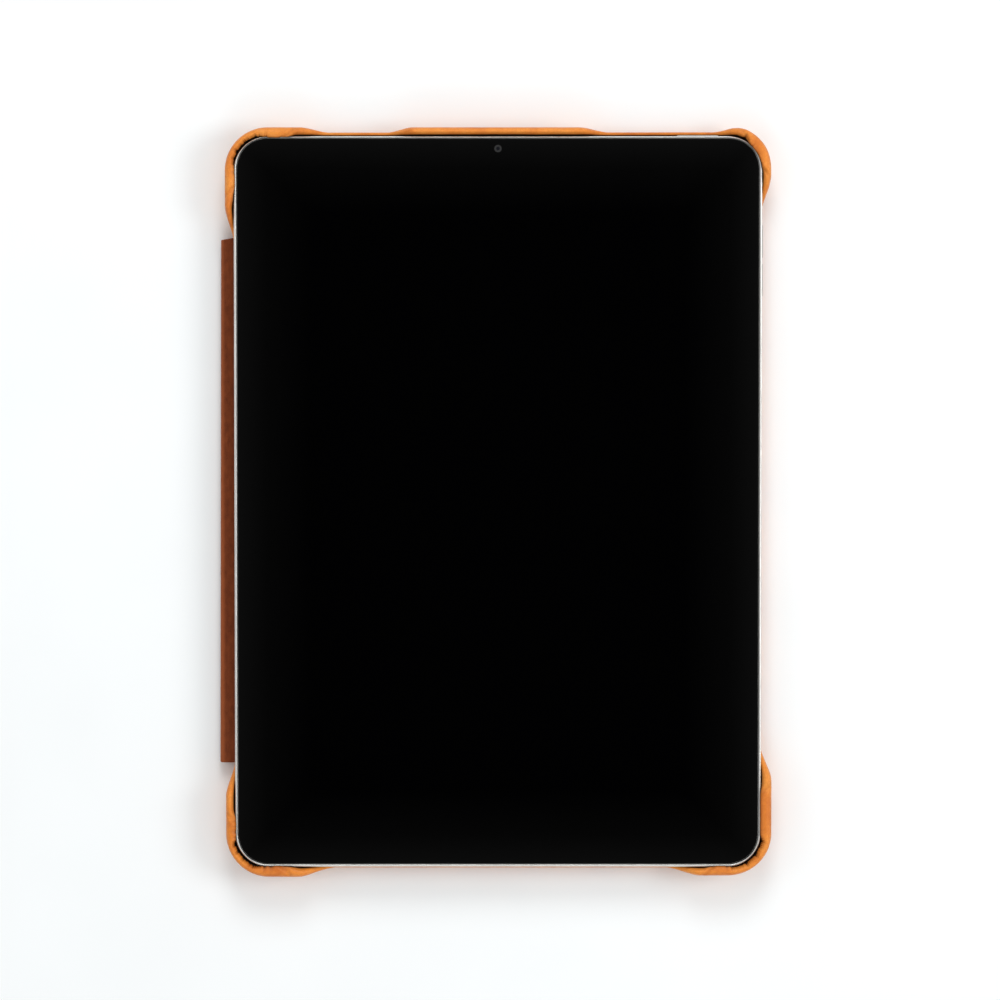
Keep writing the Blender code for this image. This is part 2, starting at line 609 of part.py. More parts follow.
def build_shell(leather, plastic, suede):
    """Moulded core with four corner grips and a top clip, its glued leather wrap and its soft liner."""
    side = grip_side()
    under = READER_TOP + FIT
    lip = [rim_point(angle) for angle in range(70, 131, 20)]
    leather_inner = inset_profile(side, LEATHER)
    bm = bmesh.new()
    tray(bm, side + lip + [(lip[-1][0], under), (leather_inner[-1].x - FIT, under)] + leather_inner[::-1])
    wrap = solid("shell_leather", bm, leather)

    core_outer = inset_profile(side, LEATHER + FIT)
    core_top = core_outer[-1].y
    rise = [READER_Z + READER_THICK * share for share in POCKET_RISE]
    core_inner = [
        (FIT + GRIP_FLARE, core_top),
        (FIT + GRIP_FLARE, rise[2]),
        (FIT + GRIP_FLARE / 2, rise[1]),
        (FIT, rise[0]),
        (-FIT, READER_Z - FIT * 0.7),
        (-2 * FIT, CORE_Z + CORE_FLOOR),
    ]
    bm = bmesh.new()
    tray(bm, core_outer + core_inner)
    core = solid("case_shell", bm, plastic)

    low = bmesh.new()
    clip = HALF_WIDTH - CLIP_FROM_SIDE
    notch(low, "top", -clip - TOP_LEFT_GAP, -clip, TOP_LEFT_RAMPS)
    notch(low, "top", clip, clip + TOP_RIGHT_GAP, TOP_RIGHT_RAMPS)
    bottom_left, bottom_right = BOTTOM_FROM_CORNERS
    notch(low, "bottom", bottom_left - HALF_WIDTH, HALF_WIDTH - bottom_right, BOTTOM_RAMPS)
    notch(low, "left", -STRIP_HALF - FIT, STRIP_HALF + FIT, LEFT_RAMPS)
    right_start, right_end = RIGHT_FROM_CORNERS[0] - HALF_HEIGHT, HALF_HEIGHT - RIGHT_FROM_CORNERS[1]
    notch(low, "right", right_start, right_end, RIGHT_RAMPS)
    lowered = cutter("lowered_walls", low)
    trim = bmesh.new()
    tall = LIP_TOP + TRIM_REACH
    size = (TRIM_REACH, 2 * (STRIP_HALF + 2 * FIT), tall)
    box(trim, size, (-HALF_WIDTH - LEFT_TRIM - TRIM_REACH / 2, 0), 0)
    edge = HALF_WIDTH + RIGHT_TRIM
    points = [
        (edge, right_start - FIT),
        (edge + TRIM_REACH, right_start - TRIM_SPREAD * RIGHT_RAMPS[0]),
        (edge + TRIM_REACH, right_end + TRIM_SPREAD * RIGHT_RAMPS[1]),
        (edge, right_end + FIT),
    ]
    prism(trim, points, 0, tall)
    trimmed = cutter("trimmed_edges", trim)
    cut(wrap, trimmed, lowered)
    cut(core, trimmed, lowered)
    plate("shell_liner", HALF_WIDTH - 4 * FIT, HALF_HEIGHT - 4 * FIT, READER_CORNER - 4 * FIT, LINER_Z, LINER,
          suede, steps=5)


def build_strip(leather):
    """The folding strip: three stiffened bars between four creases."""
    half = STRIP_THICK / 2
    length = 2 * STRIP_HALF
    first = SHELL_HINGE.x - STRIP_END_ROOM
    second = UPPER_FOLD.x + STRIP_FOLD_ROOM
    last = COVER_HINGE.x - STRIP_END_ROOM
    bars = (
        ("hinge_strip_upper", second, first, SHELL_HINGE.y - half, STRIP_THICK, SHELL_HINGE),
        ("hinge_strip_edge", UPPER_FOLD.x - half, UPPER_FOLD.x + half, LOWER_FOLD.y + STRIP_FOLD_ROOM,
         STRIP_EDGE - 2 * STRIP_FOLD_ROOM, UPPER_FOLD),
        ("hinge_strip_lower", second, last, LOWER_FOLD.y - half, STRIP_THICK, LOWER_FOLD),
    )
    for name, left, right, low, height, crease in bars:
        bm = bmesh.new()
        box(bm, (right - left, length, height), ((left + right) / 2, 0), low)
        solid(name, bm, leather, pivot=Vector((crease.x, 0, crease.y)))


def build_cover(leather, greyboard, suede, magnet_steel):
    """The folded cover: a leather tray turned round its board, with magnets in the board and a lining."""
    left = COVER_HINGE.x + COVER_SETBACK
    right = HALF_WIDTH - COVER_FREE_EDGE
    centre = Vector(((left + right) / 2, 0))
    half_x, half_y = (right - left) / 2, HALF_HEIGHT + COVER_OVERHANG
    pivot = bpy.data.objects.new("cover_pivot", None)
    bpy.context.scene.collection.objects.link(pivot)
    pivot.location = (COVER_HINGE.x, 0, COVER_HINGE.y)

    bm = bmesh.new()
    rings = []
    soft = LEATHER / 2
    for inset, height in ((0, 0), (0, COVER_THICK - soft), (soft, COVER_THICK)):
        ring = outline(half_x - inset, half_y - inset, COVER_CORNER - inset, 6)
        rings.append([(p.x + centre.x, p.y, height) for p in ring])
    loft(bm, rings)
    skin = solid("cover_leather", bm, leather)
    hollow = bmesh.new()
    prism(hollow, outline(half_x - LEATHER, half_y - LEATHER, COVER_CORNER - LEATHER, 6), -FIT,
          COVER_THICK - LEATHER, centre)
    cut(skin, cutter("cover_hollow", hollow))

    inset = LEATHER + FIT
    board = plate("cover_board", half_x - inset, half_y - inset, COVER_CORNER - inset, LINING + FIT,
                  COVER_BOARD, greyboard, centre, 6)
    lining = plate("cover_lining", half_x - inset, half_y - inset, COVER_CORNER - inset, 0, LINING, suede,
                   centre, 6)
    pieces = [skin, board, lining]
    holes = bmesh.new()
    places = [(right - MAGNET_FROM_EDGE, side * (half_y - y)) for y in MAGNET_FROM_ENDS for side in (-1, 1)]
    for number, place in enumerate(places, 1):
        prism(holes, circle(MAGNET / 2 + FIT, 16), LINING, LINING + COVER_BOARD + 2 * FIT, place)
        bm = bmesh.new()
        prism(bm, circle(MAGNET / 2, 16), LINING + FIT, LINING + FIT + COVER_BOARD, place)
        pieces.append(solid(f"cover_magnet_{number}", bm, magnet_steel))
    cut(board, cutter("magnet_pockets", holes))
    for piece in pieces:
        piece.parent = pivot
        piece.location = -Vector(pivot.location)


def build():
    clear_scene()
    aluminium = material("anodised_aluminium", (0.52, 0.51, 0.49), 0.32, 1.0)
    glass = material("black_glass", (0.004, 0.004, 0.005), 0.05)
    lcd = material("display_grey", (0.05, 0.05, 0.06), 0.4)
    foam = material("black_foam", (0.01, 0.01, 0.01), 0.9)
    steel = material("stainless_steel", (0.6, 0.6, 0.6), 0.3, 1.0)
    black = material("black_plastic", (0.012, 0.012, 0.013), 0.45)
    pcb = material("circuit_board", (0.01, 0.04, 0.03), 0.4)
    chip = material("chip_resin", (0.015, 0.015, 0.016), 0.5)
    flex = material("polyimide_flex", (0.3, 0.13, 0.03), 0.35)
    pouch = material("battery_foil", (0.09, 0.09, 0.1), 0.4, 0.3)
    tan = material("tan_leather", (0.70, 0.27, 0.075), 0.45)
    strip = material("strip_leather", (0.26, 0.075, 0.022), 0.75)
    plastic = material("moulded_core", (0.03, 0.025, 0.02), 0.5)
    suede = material("microfibre", (0.20, 0.10, 0.05), 0.95)
    greyboard = material("grey_board", (0.35, 0.33, 0.30), 0.9)
    magnet_steel = material("nickel_magnet", (0.65, 0.64, 0.6), 0.25, 1.0)
    build_housing(aluminium)
    build_display(glass, lcd, foam, steel, black)
    build_logic_board(pcb, steel)
    build_chips(steel, chip)
    build_flexes(flex)
    build_power(pouch, flex)
    build_sound_and_radio(black, steel, flex)
    build_port(steel, black)
    build_buttons(aluminium, black, steel)
    build_shell(tan, plastic, suede)
    build_strip(strip)
    build_cover(tan, greyboard, suede, magnet_steel)


build()
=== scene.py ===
"""Tablet-style reader in a leather folio case, lying on its back with the cover folded behind it."""

import json
import math

import bmesh
import bpy
from mathutils import Matrix, Vector, noise


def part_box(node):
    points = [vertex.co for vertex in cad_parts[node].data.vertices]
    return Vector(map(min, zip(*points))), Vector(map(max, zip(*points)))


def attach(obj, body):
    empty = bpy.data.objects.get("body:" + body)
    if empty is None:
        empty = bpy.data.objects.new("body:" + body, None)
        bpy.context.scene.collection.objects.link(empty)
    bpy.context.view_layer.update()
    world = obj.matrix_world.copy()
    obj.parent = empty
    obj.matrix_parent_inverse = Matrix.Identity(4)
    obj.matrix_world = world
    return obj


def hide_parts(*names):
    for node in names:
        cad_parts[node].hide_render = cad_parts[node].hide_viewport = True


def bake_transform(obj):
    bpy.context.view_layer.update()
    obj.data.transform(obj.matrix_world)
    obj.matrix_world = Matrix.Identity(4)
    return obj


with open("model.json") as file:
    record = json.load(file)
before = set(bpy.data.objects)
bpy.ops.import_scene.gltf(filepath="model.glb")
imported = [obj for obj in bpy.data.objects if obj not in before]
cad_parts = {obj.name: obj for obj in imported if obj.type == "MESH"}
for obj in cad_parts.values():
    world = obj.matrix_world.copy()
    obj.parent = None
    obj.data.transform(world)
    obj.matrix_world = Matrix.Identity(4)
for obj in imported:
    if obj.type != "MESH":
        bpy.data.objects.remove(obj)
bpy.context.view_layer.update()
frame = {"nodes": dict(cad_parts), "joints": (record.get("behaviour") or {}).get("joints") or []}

# Rear housing: a tray milled from one plate of aluminium, bead-blasted and anodised silver.
# Its edges are broken by a small round, and the rim round the glass is left as a fine bright land.
MM = 0.001
housing_low, housing_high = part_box("rear_housing")
HALF_X, HALF_Y = housing_high.x, housing_high.y
READER_CORNER = 11.5 * MM
# Its section, from the middle of the back, round the edge and over the land, to the middle inside.
HOUSING_SECTION = (
    (-6.0, 0.0), (-0.95, 0.0), (-0.62, 0.05), (-0.33, 0.2), (-0.12, 0.46), (-0.02, 0.8), (0.0, 1.15),
    (0.0, 3.0), (0.0, 5.2), (-0.02, 5.4), (-0.07, 5.56), (-0.16, 5.69), (-0.3, 5.77), (-0.46, 5.8),
    (-0.6, 5.78), (-0.7, 5.73), (-0.77, 5.66), (-0.8, 5.55), (-0.8, 4.3), (-2.2, 4.3), (-2.2, 0.7),
    (-6.0, 0.7),
)


class Finish:
    """A node material on object coordinates. Uniform values go straight on to its shader's sockets."""

    def __init__(self, name, **levels):
        self.material = bpy.data.materials.new(name)
        self.material.use_nodes = True
        self.tree = self.material.node_tree
        self.shader = self.tree.nodes["Principled BSDF"]
        self.fill(self.shader, levels)
        self.place = self.add("ShaderNodeTexCoord").outputs["Object"]
        self.relief = None

    def plug(self, socket, value):
        """Links another node's output to a socket, or sets the socket to a value or a colour."""
        if isinstance(value, bpy.types.NodeSocket):
            self.tree.links.new(value, socket)
        else:
            socket.default_value = (*value, 1) if socket.type == "RGBA" else value

    def fill(self, node, values):
        for name, value in values.items():
            self.plug(node.inputs[name.replace("_", " ")], value)

    def add(self, kind, settings=(), **values):
        node = self.tree.nodes.new(kind)
        for name, value in settings:
            setattr(node, name, value)
        self.fill(node, values)
        return node

    def stretched(self, x, y, z):
        return self.add("ShaderNodeMapping", Vector=self.place, Scale=(x, y, z)).outputs["Vector"]

    def grain(self, size, detail=2.0, roughness=0.5, place=None):
        """Cloudy noise with features of about this many millimetres."""
        node = self.add("ShaderNodeTexNoise", Vector=place or self.place, Scale=1 / (size * MM),
                        Detail=detail, Roughness=roughness)
        return node.outputs["Fac"]

    def cells(self, size, feature="F1", place=None):
        """Distances within cells of about this many millimetres."""
        node = self.add("ShaderNodeTexVoronoi", [("feature", feature)], Vector=place or self.place,
                        Scale=1 / (size * MM))
        return node.outputs["Distance"]

    def maths(self, operation, first, second=0.0, third=0.0):
        node = self.add("ShaderNodeMath", [("operation", operation)])
        for socket, value in zip(node.inputs, (first, second, third)):
            self.plug(socket, value)
        return node.outputs["Value"]

    def ramp(self, value, *stops):
        """Colours, or grey levels, by position."""
        node = self.add("ShaderNodeValToRGB", Fac=value)
        band = node.color_ramp
        while len(band.elements) < len(stops):
            band.elements.new(0.5)
        for element, (position, level) in zip(band.elements, stops):
            element.position = position
            element.color = (level,) * 3 + (1,) if isinstance(level, float) else (*level, 1)
        return node.outputs["Color"]

    def mix(self, share, first, second):
        node = self.add("ShaderNodeMix", [("data_type", "RGBA")])
        for socket, value in zip([s for s in node.inputs if s.enabled], (share, first, second)):
            self.plug(socket, value)
        return next(s for s in node.outputs if s.enabled)

    def bump(self, height, depth, strength=1.0):
        """Adds relief of this many millimetres."""
        node = self.add("ShaderNodeBump", Strength=strength, Distance=depth * MM, Height=height)
        if self.relief is not None:
            self.tree.links.new(self.relief, node.inputs["Normal"])
        self.relief = node.outputs["Normal"]
        self.tree.links.new(self.relief, self.shader.inputs["Normal"])

    def paint(self, **links):
        self.fill(self.shader, links)
        return self.material


def blasted_aluminium(name, tone):
    """Anodised aluminium: sub-millimetre blasting dimples, and faint handling marks in its gloss."""
    made = Finish(name, Metallic=1.0, IOR=1.4)
    blast = made.grain(0.12, 3.0, 0.6)
    marks = made.grain(9.0, 4.0, 0.6)
    made.bump(blast, 0.012, 0.5)
    light, dark = [tuple(c * k for c in tone) for k in (1.06, 0.92)]
    return made.paint(
        Base_Color=made.ramp(made.grain(2.5, 5.0, 0.7), (0.3, dark), (0.7, light)),
        Roughness=made.ramp(marks, (0.35, 0.38), (0.7, 0.48)),
    )


def piece(name, bm, finish, sharp=38):
    """Makes a closed bmesh a shown piece, its faces turned outward."""
    bmesh.ops.recalc_face_normals(bm, faces=bm.faces)
    mesh = bpy.data.meshes.new(name)
    bm.to_mesh(mesh)
    bm.free()
    mesh.shade_smooth()
    mesh.set_sharp_from_angle(angle=math.radians(sharp))
    mesh.materials.append(finish)
    made = bpy.data.objects.new(name, mesh)
    bpy.context.scene.collection.objects.link(made)
    return made


def rounded_loop(bm, half_x, half_y, radius, arc_steps, spacing):
    """The edges of a rounded rectangle, evenly divided along its straight sides."""
    plate = bmesh.ops.create_grid(bm, x_segments=1, y_segments=1, size=1.0)["verts"]
    bmesh.ops.scale(bm, vec=(half_x, half_y, 1), verts=plate)
    bmesh.ops.bevel(bm, geom=plate, offset=radius, offset_type="OFFSET", affect="VERTICES",
                    segments=arc_steps, profile=0.5, material=-1)
    bmesh.ops.delete(bm, geom=bm.faces[:], context="FACES_ONLY")
    for edge in bm.edges[:]:
        cuts = round(edge.calc_length() / spacing) - 1
        if cuts > 0:
            bmesh.ops.subdivide_edges(bm, edges=[edge], cuts=cuts)
    return bm.edges[:]


def extrude_rings(bm, edges, count):
    """Extrudes a loop in place again and again, numbers the rings, and closes the first and the last."""
    ring = bm.verts.layers.int.new("ring")
    bmesh.ops.edgeloop_fill(bm, edges=edges)
    for number in range(1, count):
        grown = bmesh.ops.extrude_edge_only(bm, edges=edges)["geom"]
        for vert in (item for item in grown if isinstance(item, bmesh.types.BMVert)):
            vert[ring] = number
        edges = [item for item in grown if isinstance(item, bmesh.types.BMEdge)]
    bmesh.ops.edgeloop_fill(bm, edges=edges)
    return ring


def outward(point, half_x, half_y, radius):
    """The way out of a rounded rectangle at a point on it, and that point held within its arcs' centres."""
    held = Vector((max(radius - half_x, min(half_x - radius, point.x)),
                   max(radius - half_y, min(half_y - radius, point.y))))
    return (Vector((point.x, point.y)) - held).normalized(), held


def turned_wall(bm, half_x, half_y, radius, section, base, arc_steps, centre_x=0.0, nudge=None):
    """One (outward, height) section in millimetres carried round a rounded rectangle.

    nudge gives a small shift in plan from a point's direction, outward place and height.
    """
    loop = rounded_loop(bm, half_x, half_y, radius, arc_steps, 6 * MM)
    ring = extrude_rings(bm, loop, len(section))
    for vert in bm.verts:
        out, height = section[vert[ring]]
        direction = outward(vert.co, half_x, half_y, radius)[0]
        plan = Vector((vert.co.x + centre_x, vert.co.y)) + direction * out * MM
        if nudge:
            plan += nudge(direction, out, height)
        vert.co = (plan.x, plan.y, base + height * MM)


LAND_NARROWER_TOP, LAND_NARROWER_CORNER = 0.3 * MM, 0.14 * MM


def glass_edge(direction, out=0.0, height=0.0):
    """How far the glass stands out from an even inset, so that the land round it narrows."""
    corner = 4 * (direction.x * direction.y) ** 2
    return direction * LAND_NARROWER_CORNER * corner + Vector((0, LAND_NARROWER_TOP * max(0.0, direction.y)))


def land_edge(direction, out, height):
    """The land's inner side follows the glass, its outer side stays, and the floor and shelf stay too."""
    if height <= 4 or out <= -1:
        return Vector((0, 0))
    return glass_edge(direction) * max(0.0, min(1.0, (-out - 0.2) / 0.6))


def opening(bm, low, high, soften):
    """A block between two corners with its edges along the shortest way rounded, for cutting a slot."""
    size = high - low
    verts = bmesh.ops.create_cube(bm, size=1.0)["verts"]
    bmesh.ops.scale(bm, vec=size, verts=verts)
    bmesh.ops.translate(bm, vec=(low + high) / 2, verts=verts)
    through = 1 if abs(low.y + high.y) > abs(low.x + high.x) else 0
    edges = {e for v in verts for e in v.link_edges}
    along = [e for e in edges if abs((e.verts[0].co - e.verts[1].co)[through]) > size[through] / 2]
    bmesh.ops.bevel(bm, geom=along, offset=soften, affect="EDGES", segments=5, profile=0.5, material=-1)


def grown_box(node, way, by):
    """A CAD node's box, grown across a wall's way out and pushed right through the wall."""
    low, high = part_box(node)
    low, high = low - Vector((by,) * 3), high + Vector((by,) * 3)
    axis = 0 if way.x else 1
    if way[axis] > 0:
        high[axis] += 3 * MM
        low[axis] = (HALF_X, HALF_Y)[axis] - 3 * MM
    else:
        low[axis] -= 3 * MM
        high[axis] = -(HALF_X, HALF_Y)[axis] + 3 * MM
    return low, high


silver = blasted_aluminium("silver_aluminium", (0.62, 0.615, 0.59))
bm = bmesh.new()
turned_wall(bm, HALF_X, HALF_Y, READER_CORNER, HOUSING_SECTION, housing_low.z, 28, nudge=land_edge)
housing = piece("housing_tray", bm, silver, 25)
SPEAKER_HOLE, SPEAKER_PITCH, SPEAKER_UP = 0.65 * MM, 2.7 * MM, 2.65 * MM
PORT_ROOM, BUTTON_ROOM, CAP_SHORTER, SLOT_ENDS = 0.2 * MM, 0.25 * MM, 1.0 * MM, 0.9 * MM
holes = bmesh.new()
drilled = Matrix.Rotation(math.radians(90), 4, "X")
for edge_y, row in ((HALF_Y, "speaker_top_"), (-HALF_Y, "speaker_bottom_")):
    for column in ("left", "right"):
        low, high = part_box(row + column)
        for step in range(-3, 4):
            at = ((low.x + high.x) / 2 + step * SPEAKER_PITCH, edge_y, housing_low.z + SPEAKER_UP)
            bmesh.ops.create_cone(holes, cap_ends=True, segments=20, radius1=SPEAKER_HOLE,
                                  radius2=SPEAKER_HOLE, depth=6 * MM, matrix=Matrix.Translation(at) @ drilled)
low, high = grown_box("usb_port_shell", Vector((0, -1, 0)), PORT_ROOM)
opening(holes, low, high, (high.z - low.z) * 0.49)
for button, way in (("power", Vector((0, 1, 0))), ("volume_up", Vector((1, 0, 0))),
                    ("volume_down", Vector((1, 0, 0)))):
    low, high = grown_box(button + "_button", way, BUTTON_ROOM)
    # The cap is shorter at each end than the flange behind it, which the box takes in.
    across = 1 if way.x else 0
    low[across] += CAP_SHORTER
    high[across] -= CAP_SHORTER
    opening(holes, low, high, SLOT_ENDS)
cutter = piece("housing_openings", holes, silver)
cut = housing.modifiers.new("openings", "BOOLEAN")
cut.object = cutter
cut.solver = "EXACT"
bpy.context.view_layer.update()
milled = bpy.data.meshes.new_from_object(housing.evaluated_get(bpy.context.evaluated_depsgraph_get()))
housing.modifiers.clear()
housing.data = milled
housing.modifiers.new("flat_walls", "WEIGHTED_NORMAL").keep_sharp = True
bpy.data.objects.remove(cutter)
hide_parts("rear_housing")
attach(housing, "reader_in_shell")


# Buttons: short bars milled from the same alloy, anodised with the housing and a shade brighter.
# Each is held by a flange behind its slot and springs on a switch.
def dress(finish, *names):
    for name in names:
        for slot in frame["nodes"][name].material_slots:
            slot.material = finish


dress(blasted_aluminium("button_aluminium", (0.68, 0.67, 0.645)), "power_button", "volume_up_button",
      "volume_down_button")

# Cover glass: a sheet of hardened glass, black behind, ground to a fine edge and bonded in the rim.
# The front camera looks through a small ringed window, and a painted reflection makes the black a shade
# greyer at the edge.
glass_low, glass_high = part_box("cover_glass")
lens_low, lens_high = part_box("camera_lens")
RING_ABOVE_LENS = 0.35 * MM


def black_cover_glass():
    """The camera's ring by distance from its middle, a painted reflection that greys the black at the edge
    and fades inwards, and a few specks of dust.
    """
    made = Finish("black_cover_glass", IOR=1.5)
    lens = (lens_low + lens_high) / 2 + Vector((0, RING_ABOVE_LENS, 0))
    centred = made.add("ShaderNodeMapping", Vector=made.place, Location=(-lens.x, -lens.y, 0))
    flat = made.add("ShaderNodeVectorMath", [("operation", "MULTIPLY")], Vector=centred.outputs["Vector"])
    flat.inputs[1].default_value = (1, 1, 0)
    length = made.add("ShaderNodeVectorMath", [("operation", "LENGTH")], Vector=flat.outputs["Vector"])
    reach = made.maths("MULTIPLY", length.outputs["Value"], 1 / (2 * MM))
    window = made.ramp(reach, (0.0, (0.006, 0.007, 0.012)), (0.22, (0.004, 0.004, 0.006)),
                       (0.34, (0.02, 0.021, 0.022)), (0.5, 0.034), (0.6, 0.016), (0.68, 0.0))
    axes = made.add("ShaderNodeSeparateXYZ", Vector=made.place)
    depths = [made.maths("SUBTRACT", half, made.maths("ABSOLUTE", axes.outputs[name]))
              for name, half in (("X", glass_high.x), ("Y", glass_high.y))]
    inward = made.maths("MULTIPLY", made.maths("MINIMUM", *depths), 1 / (25 * MM))
    # Painted reflection: the black is lifted to grey at the glass's edge and fades to plain black 25 mm in.
    ground = made.ramp(inward, (0.0, 0.0033), (0.4, 0.0014), (1.0, (0.0003, 0.0003, 0.0004)))
    dust = made.ramp(made.cells(3.1), (0.0, 0.02), (0.012, 0.0))
    colour = ground
    for extra in (window, dust):
        total = made.add("ShaderNodeVectorMath", [("operation", "ADD")])
        made.tree.links.new(colour, total.inputs[0])
        made.tree.links.new(extra, total.inputs[1])
        colour = total.outputs["Vector"]
    wiped = made.grain(16.0, 3.0, 0.6, made.stretched(1.0, 0.35, 1.0))
    return made.paint(Base_Color=colour, Roughness=made.ramp(wiped, (0.4, 0.035), (0.75, 0.075)))


bm = bmesh.new()
GLASS_SECTION = ((-6.0, 0.0), (0.0, 0.0), (0.0, 0.58), (-0.02, 0.65), (-0.05, 0.69), (-0.1, 0.7), (-6.0, 0.7))
GLASS_INSET = HALF_X - glass_high.x
turned_wall(bm, HALF_X - GLASS_INSET, HALF_Y - GLASS_INSET, READER_CORNER - GLASS_INSET, GLASS_SECTION,
            glass_low.z, 28, nudge=glass_edge)
glass = piece("glass_sheet", bm, black_cover_glass(), 10)
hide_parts("cover_glass")
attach(glass, "reader_in_shell")


# Display stack and front camera: a foam gasket, the bonded panel, its stamped shield with a fine
# brushed grain, and the camera's black module and coated lens.
def closed_foam():
    made = Finish("closed_foam", Roughness=0.95)
    pores = made.cells(0.35)
    made.bump(pores, 0.05)
    return made.paint(Base_Color=made.ramp(pores, (0.0, 0.004), (0.6, 0.022)))


def panel_stack():
    made = Finish("panel_stack", Specular_IOR_Level=0.6)
    rows = made.grain(0.3, 1.0, 0.5, made.stretched(0.02, 1.0, 1.0))
    made.bump(rows, 0.005)
    return made.paint(Base_Color=made.ramp(rows, (0.3, (0.028, 0.029, 0.034)), (0.7, (0.06, 0.062, 0.07))),
                      Roughness=made.ramp(made.grain(8.0), (0.3, 0.25), (0.7, 0.4)))


def rolled_steel(name, tone, across=0.03):
    """Thin rolled steel, its grain along one way."""
    made = Finish(name, Metallic=1.0)
    lines = made.grain(0.25, 4.0, 0.6, made.stretched(across, 1.0, 1.0))
    made.bump(lines, 0.01, 0.5)
    dark = tuple(c * 0.82 for c in tone)
    return made.paint(Base_Color=made.ramp(lines, (0.3, dark), (0.7, tone)),
                      Roughness=made.ramp(made.grain(4.0, 3.0), (0.3, 0.24), (0.75, 0.42)))


def moulded_plastic(name, tone, texture=0.18):
    """Injection-moulded plastic with a fine spark-eroded texture and slight flow variation."""
    made = Finish(name)
    made.bump(made.grain(texture, 2.0, 0.6), 0.02, 0.6)
    light = tuple(c * 1.5 + 0.002 for c in tone)
    return made.paint(Base_Color=made.ramp(made.grain(11.0, 3.0), (0.3, tone), (0.75, light)),
                      Roughness=made.ramp(made.grain(1.4, 3.0), (0.3, 0.42), (0.7, 0.6)))


spring_steel = rolled_steel("spring_steel", (0.6, 0.6, 0.59))
black_plastic = moulded_plastic("black_plastic", (0.009, 0.009, 0.01))
dress(closed_foam(), "display_gasket")
dress(panel_stack(), "display_panel")
dress(rolled_steel("display_backing", (0.45, 0.45, 0.46)), "display_shield")
dress(black_plastic, "front_camera", "camera_lens")


# Logic board and what is on it: green-black fibreglass with copper tracks, tinned cans over the
# processor and radio, moulded chips with a laser-dull top, and four small screws.
def fibreglass_board():
    made = Finish("fibreglass_board", Specular_IOR_Level=0.6)
    tracks = made.ramp(made.cells(1.3, "DISTANCE_TO_EDGE"), (0.0, 1.0), (0.07, 0.0))
    weave = made.grain(0.4, 1.0, 0.5, made.stretched(1.0, 0.2, 1.0))
    made.bump(tracks, 0.03, 0.7)
    ground = made.ramp(weave, (0.3, (0.006, 0.028, 0.02)), (0.7, (0.012, 0.05, 0.036)))
    lit = made.ramp(tracks, (0.0, 0.0), (1.0, 0.55))
    return made.paint(Base_Color=made.mix(lit, ground, (0.08, 0.16, 0.09)),
                      Roughness=made.ramp(weave, (0.3, 0.35), (0.7, 0.5)))


dress(fibreglass_board(), "logic_board")
dress(rolled_steel("tinned_can", (0.66, 0.65, 0.62), 0.3), "processor_can", "radio_can")
dress(moulded_plastic("chip_resin", (0.012, 0.012, 0.013), 0.09), "processor", "storage_chip")
dress(spring_steel, *[f"board_screw_{number}" for number in range(1, 5)])


# Flexible circuits: amber polyimide film over copper lines, laid as ribbons and antennas.
# The battery cells are pouches of crinkled aluminium laminate with black tape over their ends.
def polyimide_film():
    made = Finish("polyimide_film", Specular_IOR_Level=0.7, Coat_Weight=0.3)
    lines = made.add("ShaderNodeTexWave", [("bands_direction", "X")], Vector=made.place,
                     Scale=600.0).outputs["Fac"]
    made.bump(lines, 0.01, 0.4)
    return made.paint(Base_Color=made.ramp(lines, (0.35, (0.16, 0.055, 0.01)), (0.65, (0.42, 0.19, 0.04))),
                      Roughness=made.ramp(made.grain(3.0), (0.3, 0.28), (0.7, 0.42)))


def pouch_laminate():
    made = Finish("pouch_laminate", Metallic=0.6)
    creases = made.grain(7.0, 6.0, 0.62, made.stretched(1.0, 0.45, 1.0))
    made.bump(creases, 0.25, 0.6)
    return made.paint(Base_Color=made.ramp(creases, (0.3, (0.06, 0.06, 0.065)), (0.7, (0.16, 0.16, 0.17))),
                      Roughness=made.ramp(made.grain(2.0, 4.0), (0.3, 0.3), (0.7, 0.5)))


dress(polyimide_film(), "display_flex", "port_flex", "antenna_left", "antenna_right", "battery_lead_left",
      "battery_lead_right")
dress(pouch_laminate(), "battery_left", "battery_right")

# Speakers, switches, brackets and the cable socket: glass-filled black plastic boxes and a tongue,
# with pressed spring-steel brackets and a deep-drawn steel cup for the socket.
dress(black_plastic, "speaker_top_left", "speaker_top_right", "speaker_bottom_left", "speaker_bottom_right",
      "power_switch", "volume_up_switch", "volume_down_switch", "usb_port_tongue")
dress(spring_steel, "usb_port_shell", "microphone", "power_bracket", "volume_bracket")

# Case shell: a thin tray moulded in dark plastic, with a wall that rises into four corner grips and
# a clip at the middle of the top, and drops to floor level between them. Leather is glued over it.
shell_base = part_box("shell_leather")[0].z
ARC = math.pi / 2 * READER_CORNER / MM
SIDE_X = (HALF_X - READER_CORNER) / MM
SIDE_Y = (HALF_Y - READER_CORNER) / MM
WHOLE_WAY = 4 * (ARC + SIDE_X + SIDE_Y)
TOP_RIGHT = SIDE_X + ARC
BOTTOM_RIGHT = TOP_RIGHT + 2 * SIDE_Y
BOTTOM_LEFT = BOTTOM_RIGHT + ARC + 2 * SIDE_X
TOP_LEFT = BOTTOM_LEFT + ARC + 2 * SIDE_Y
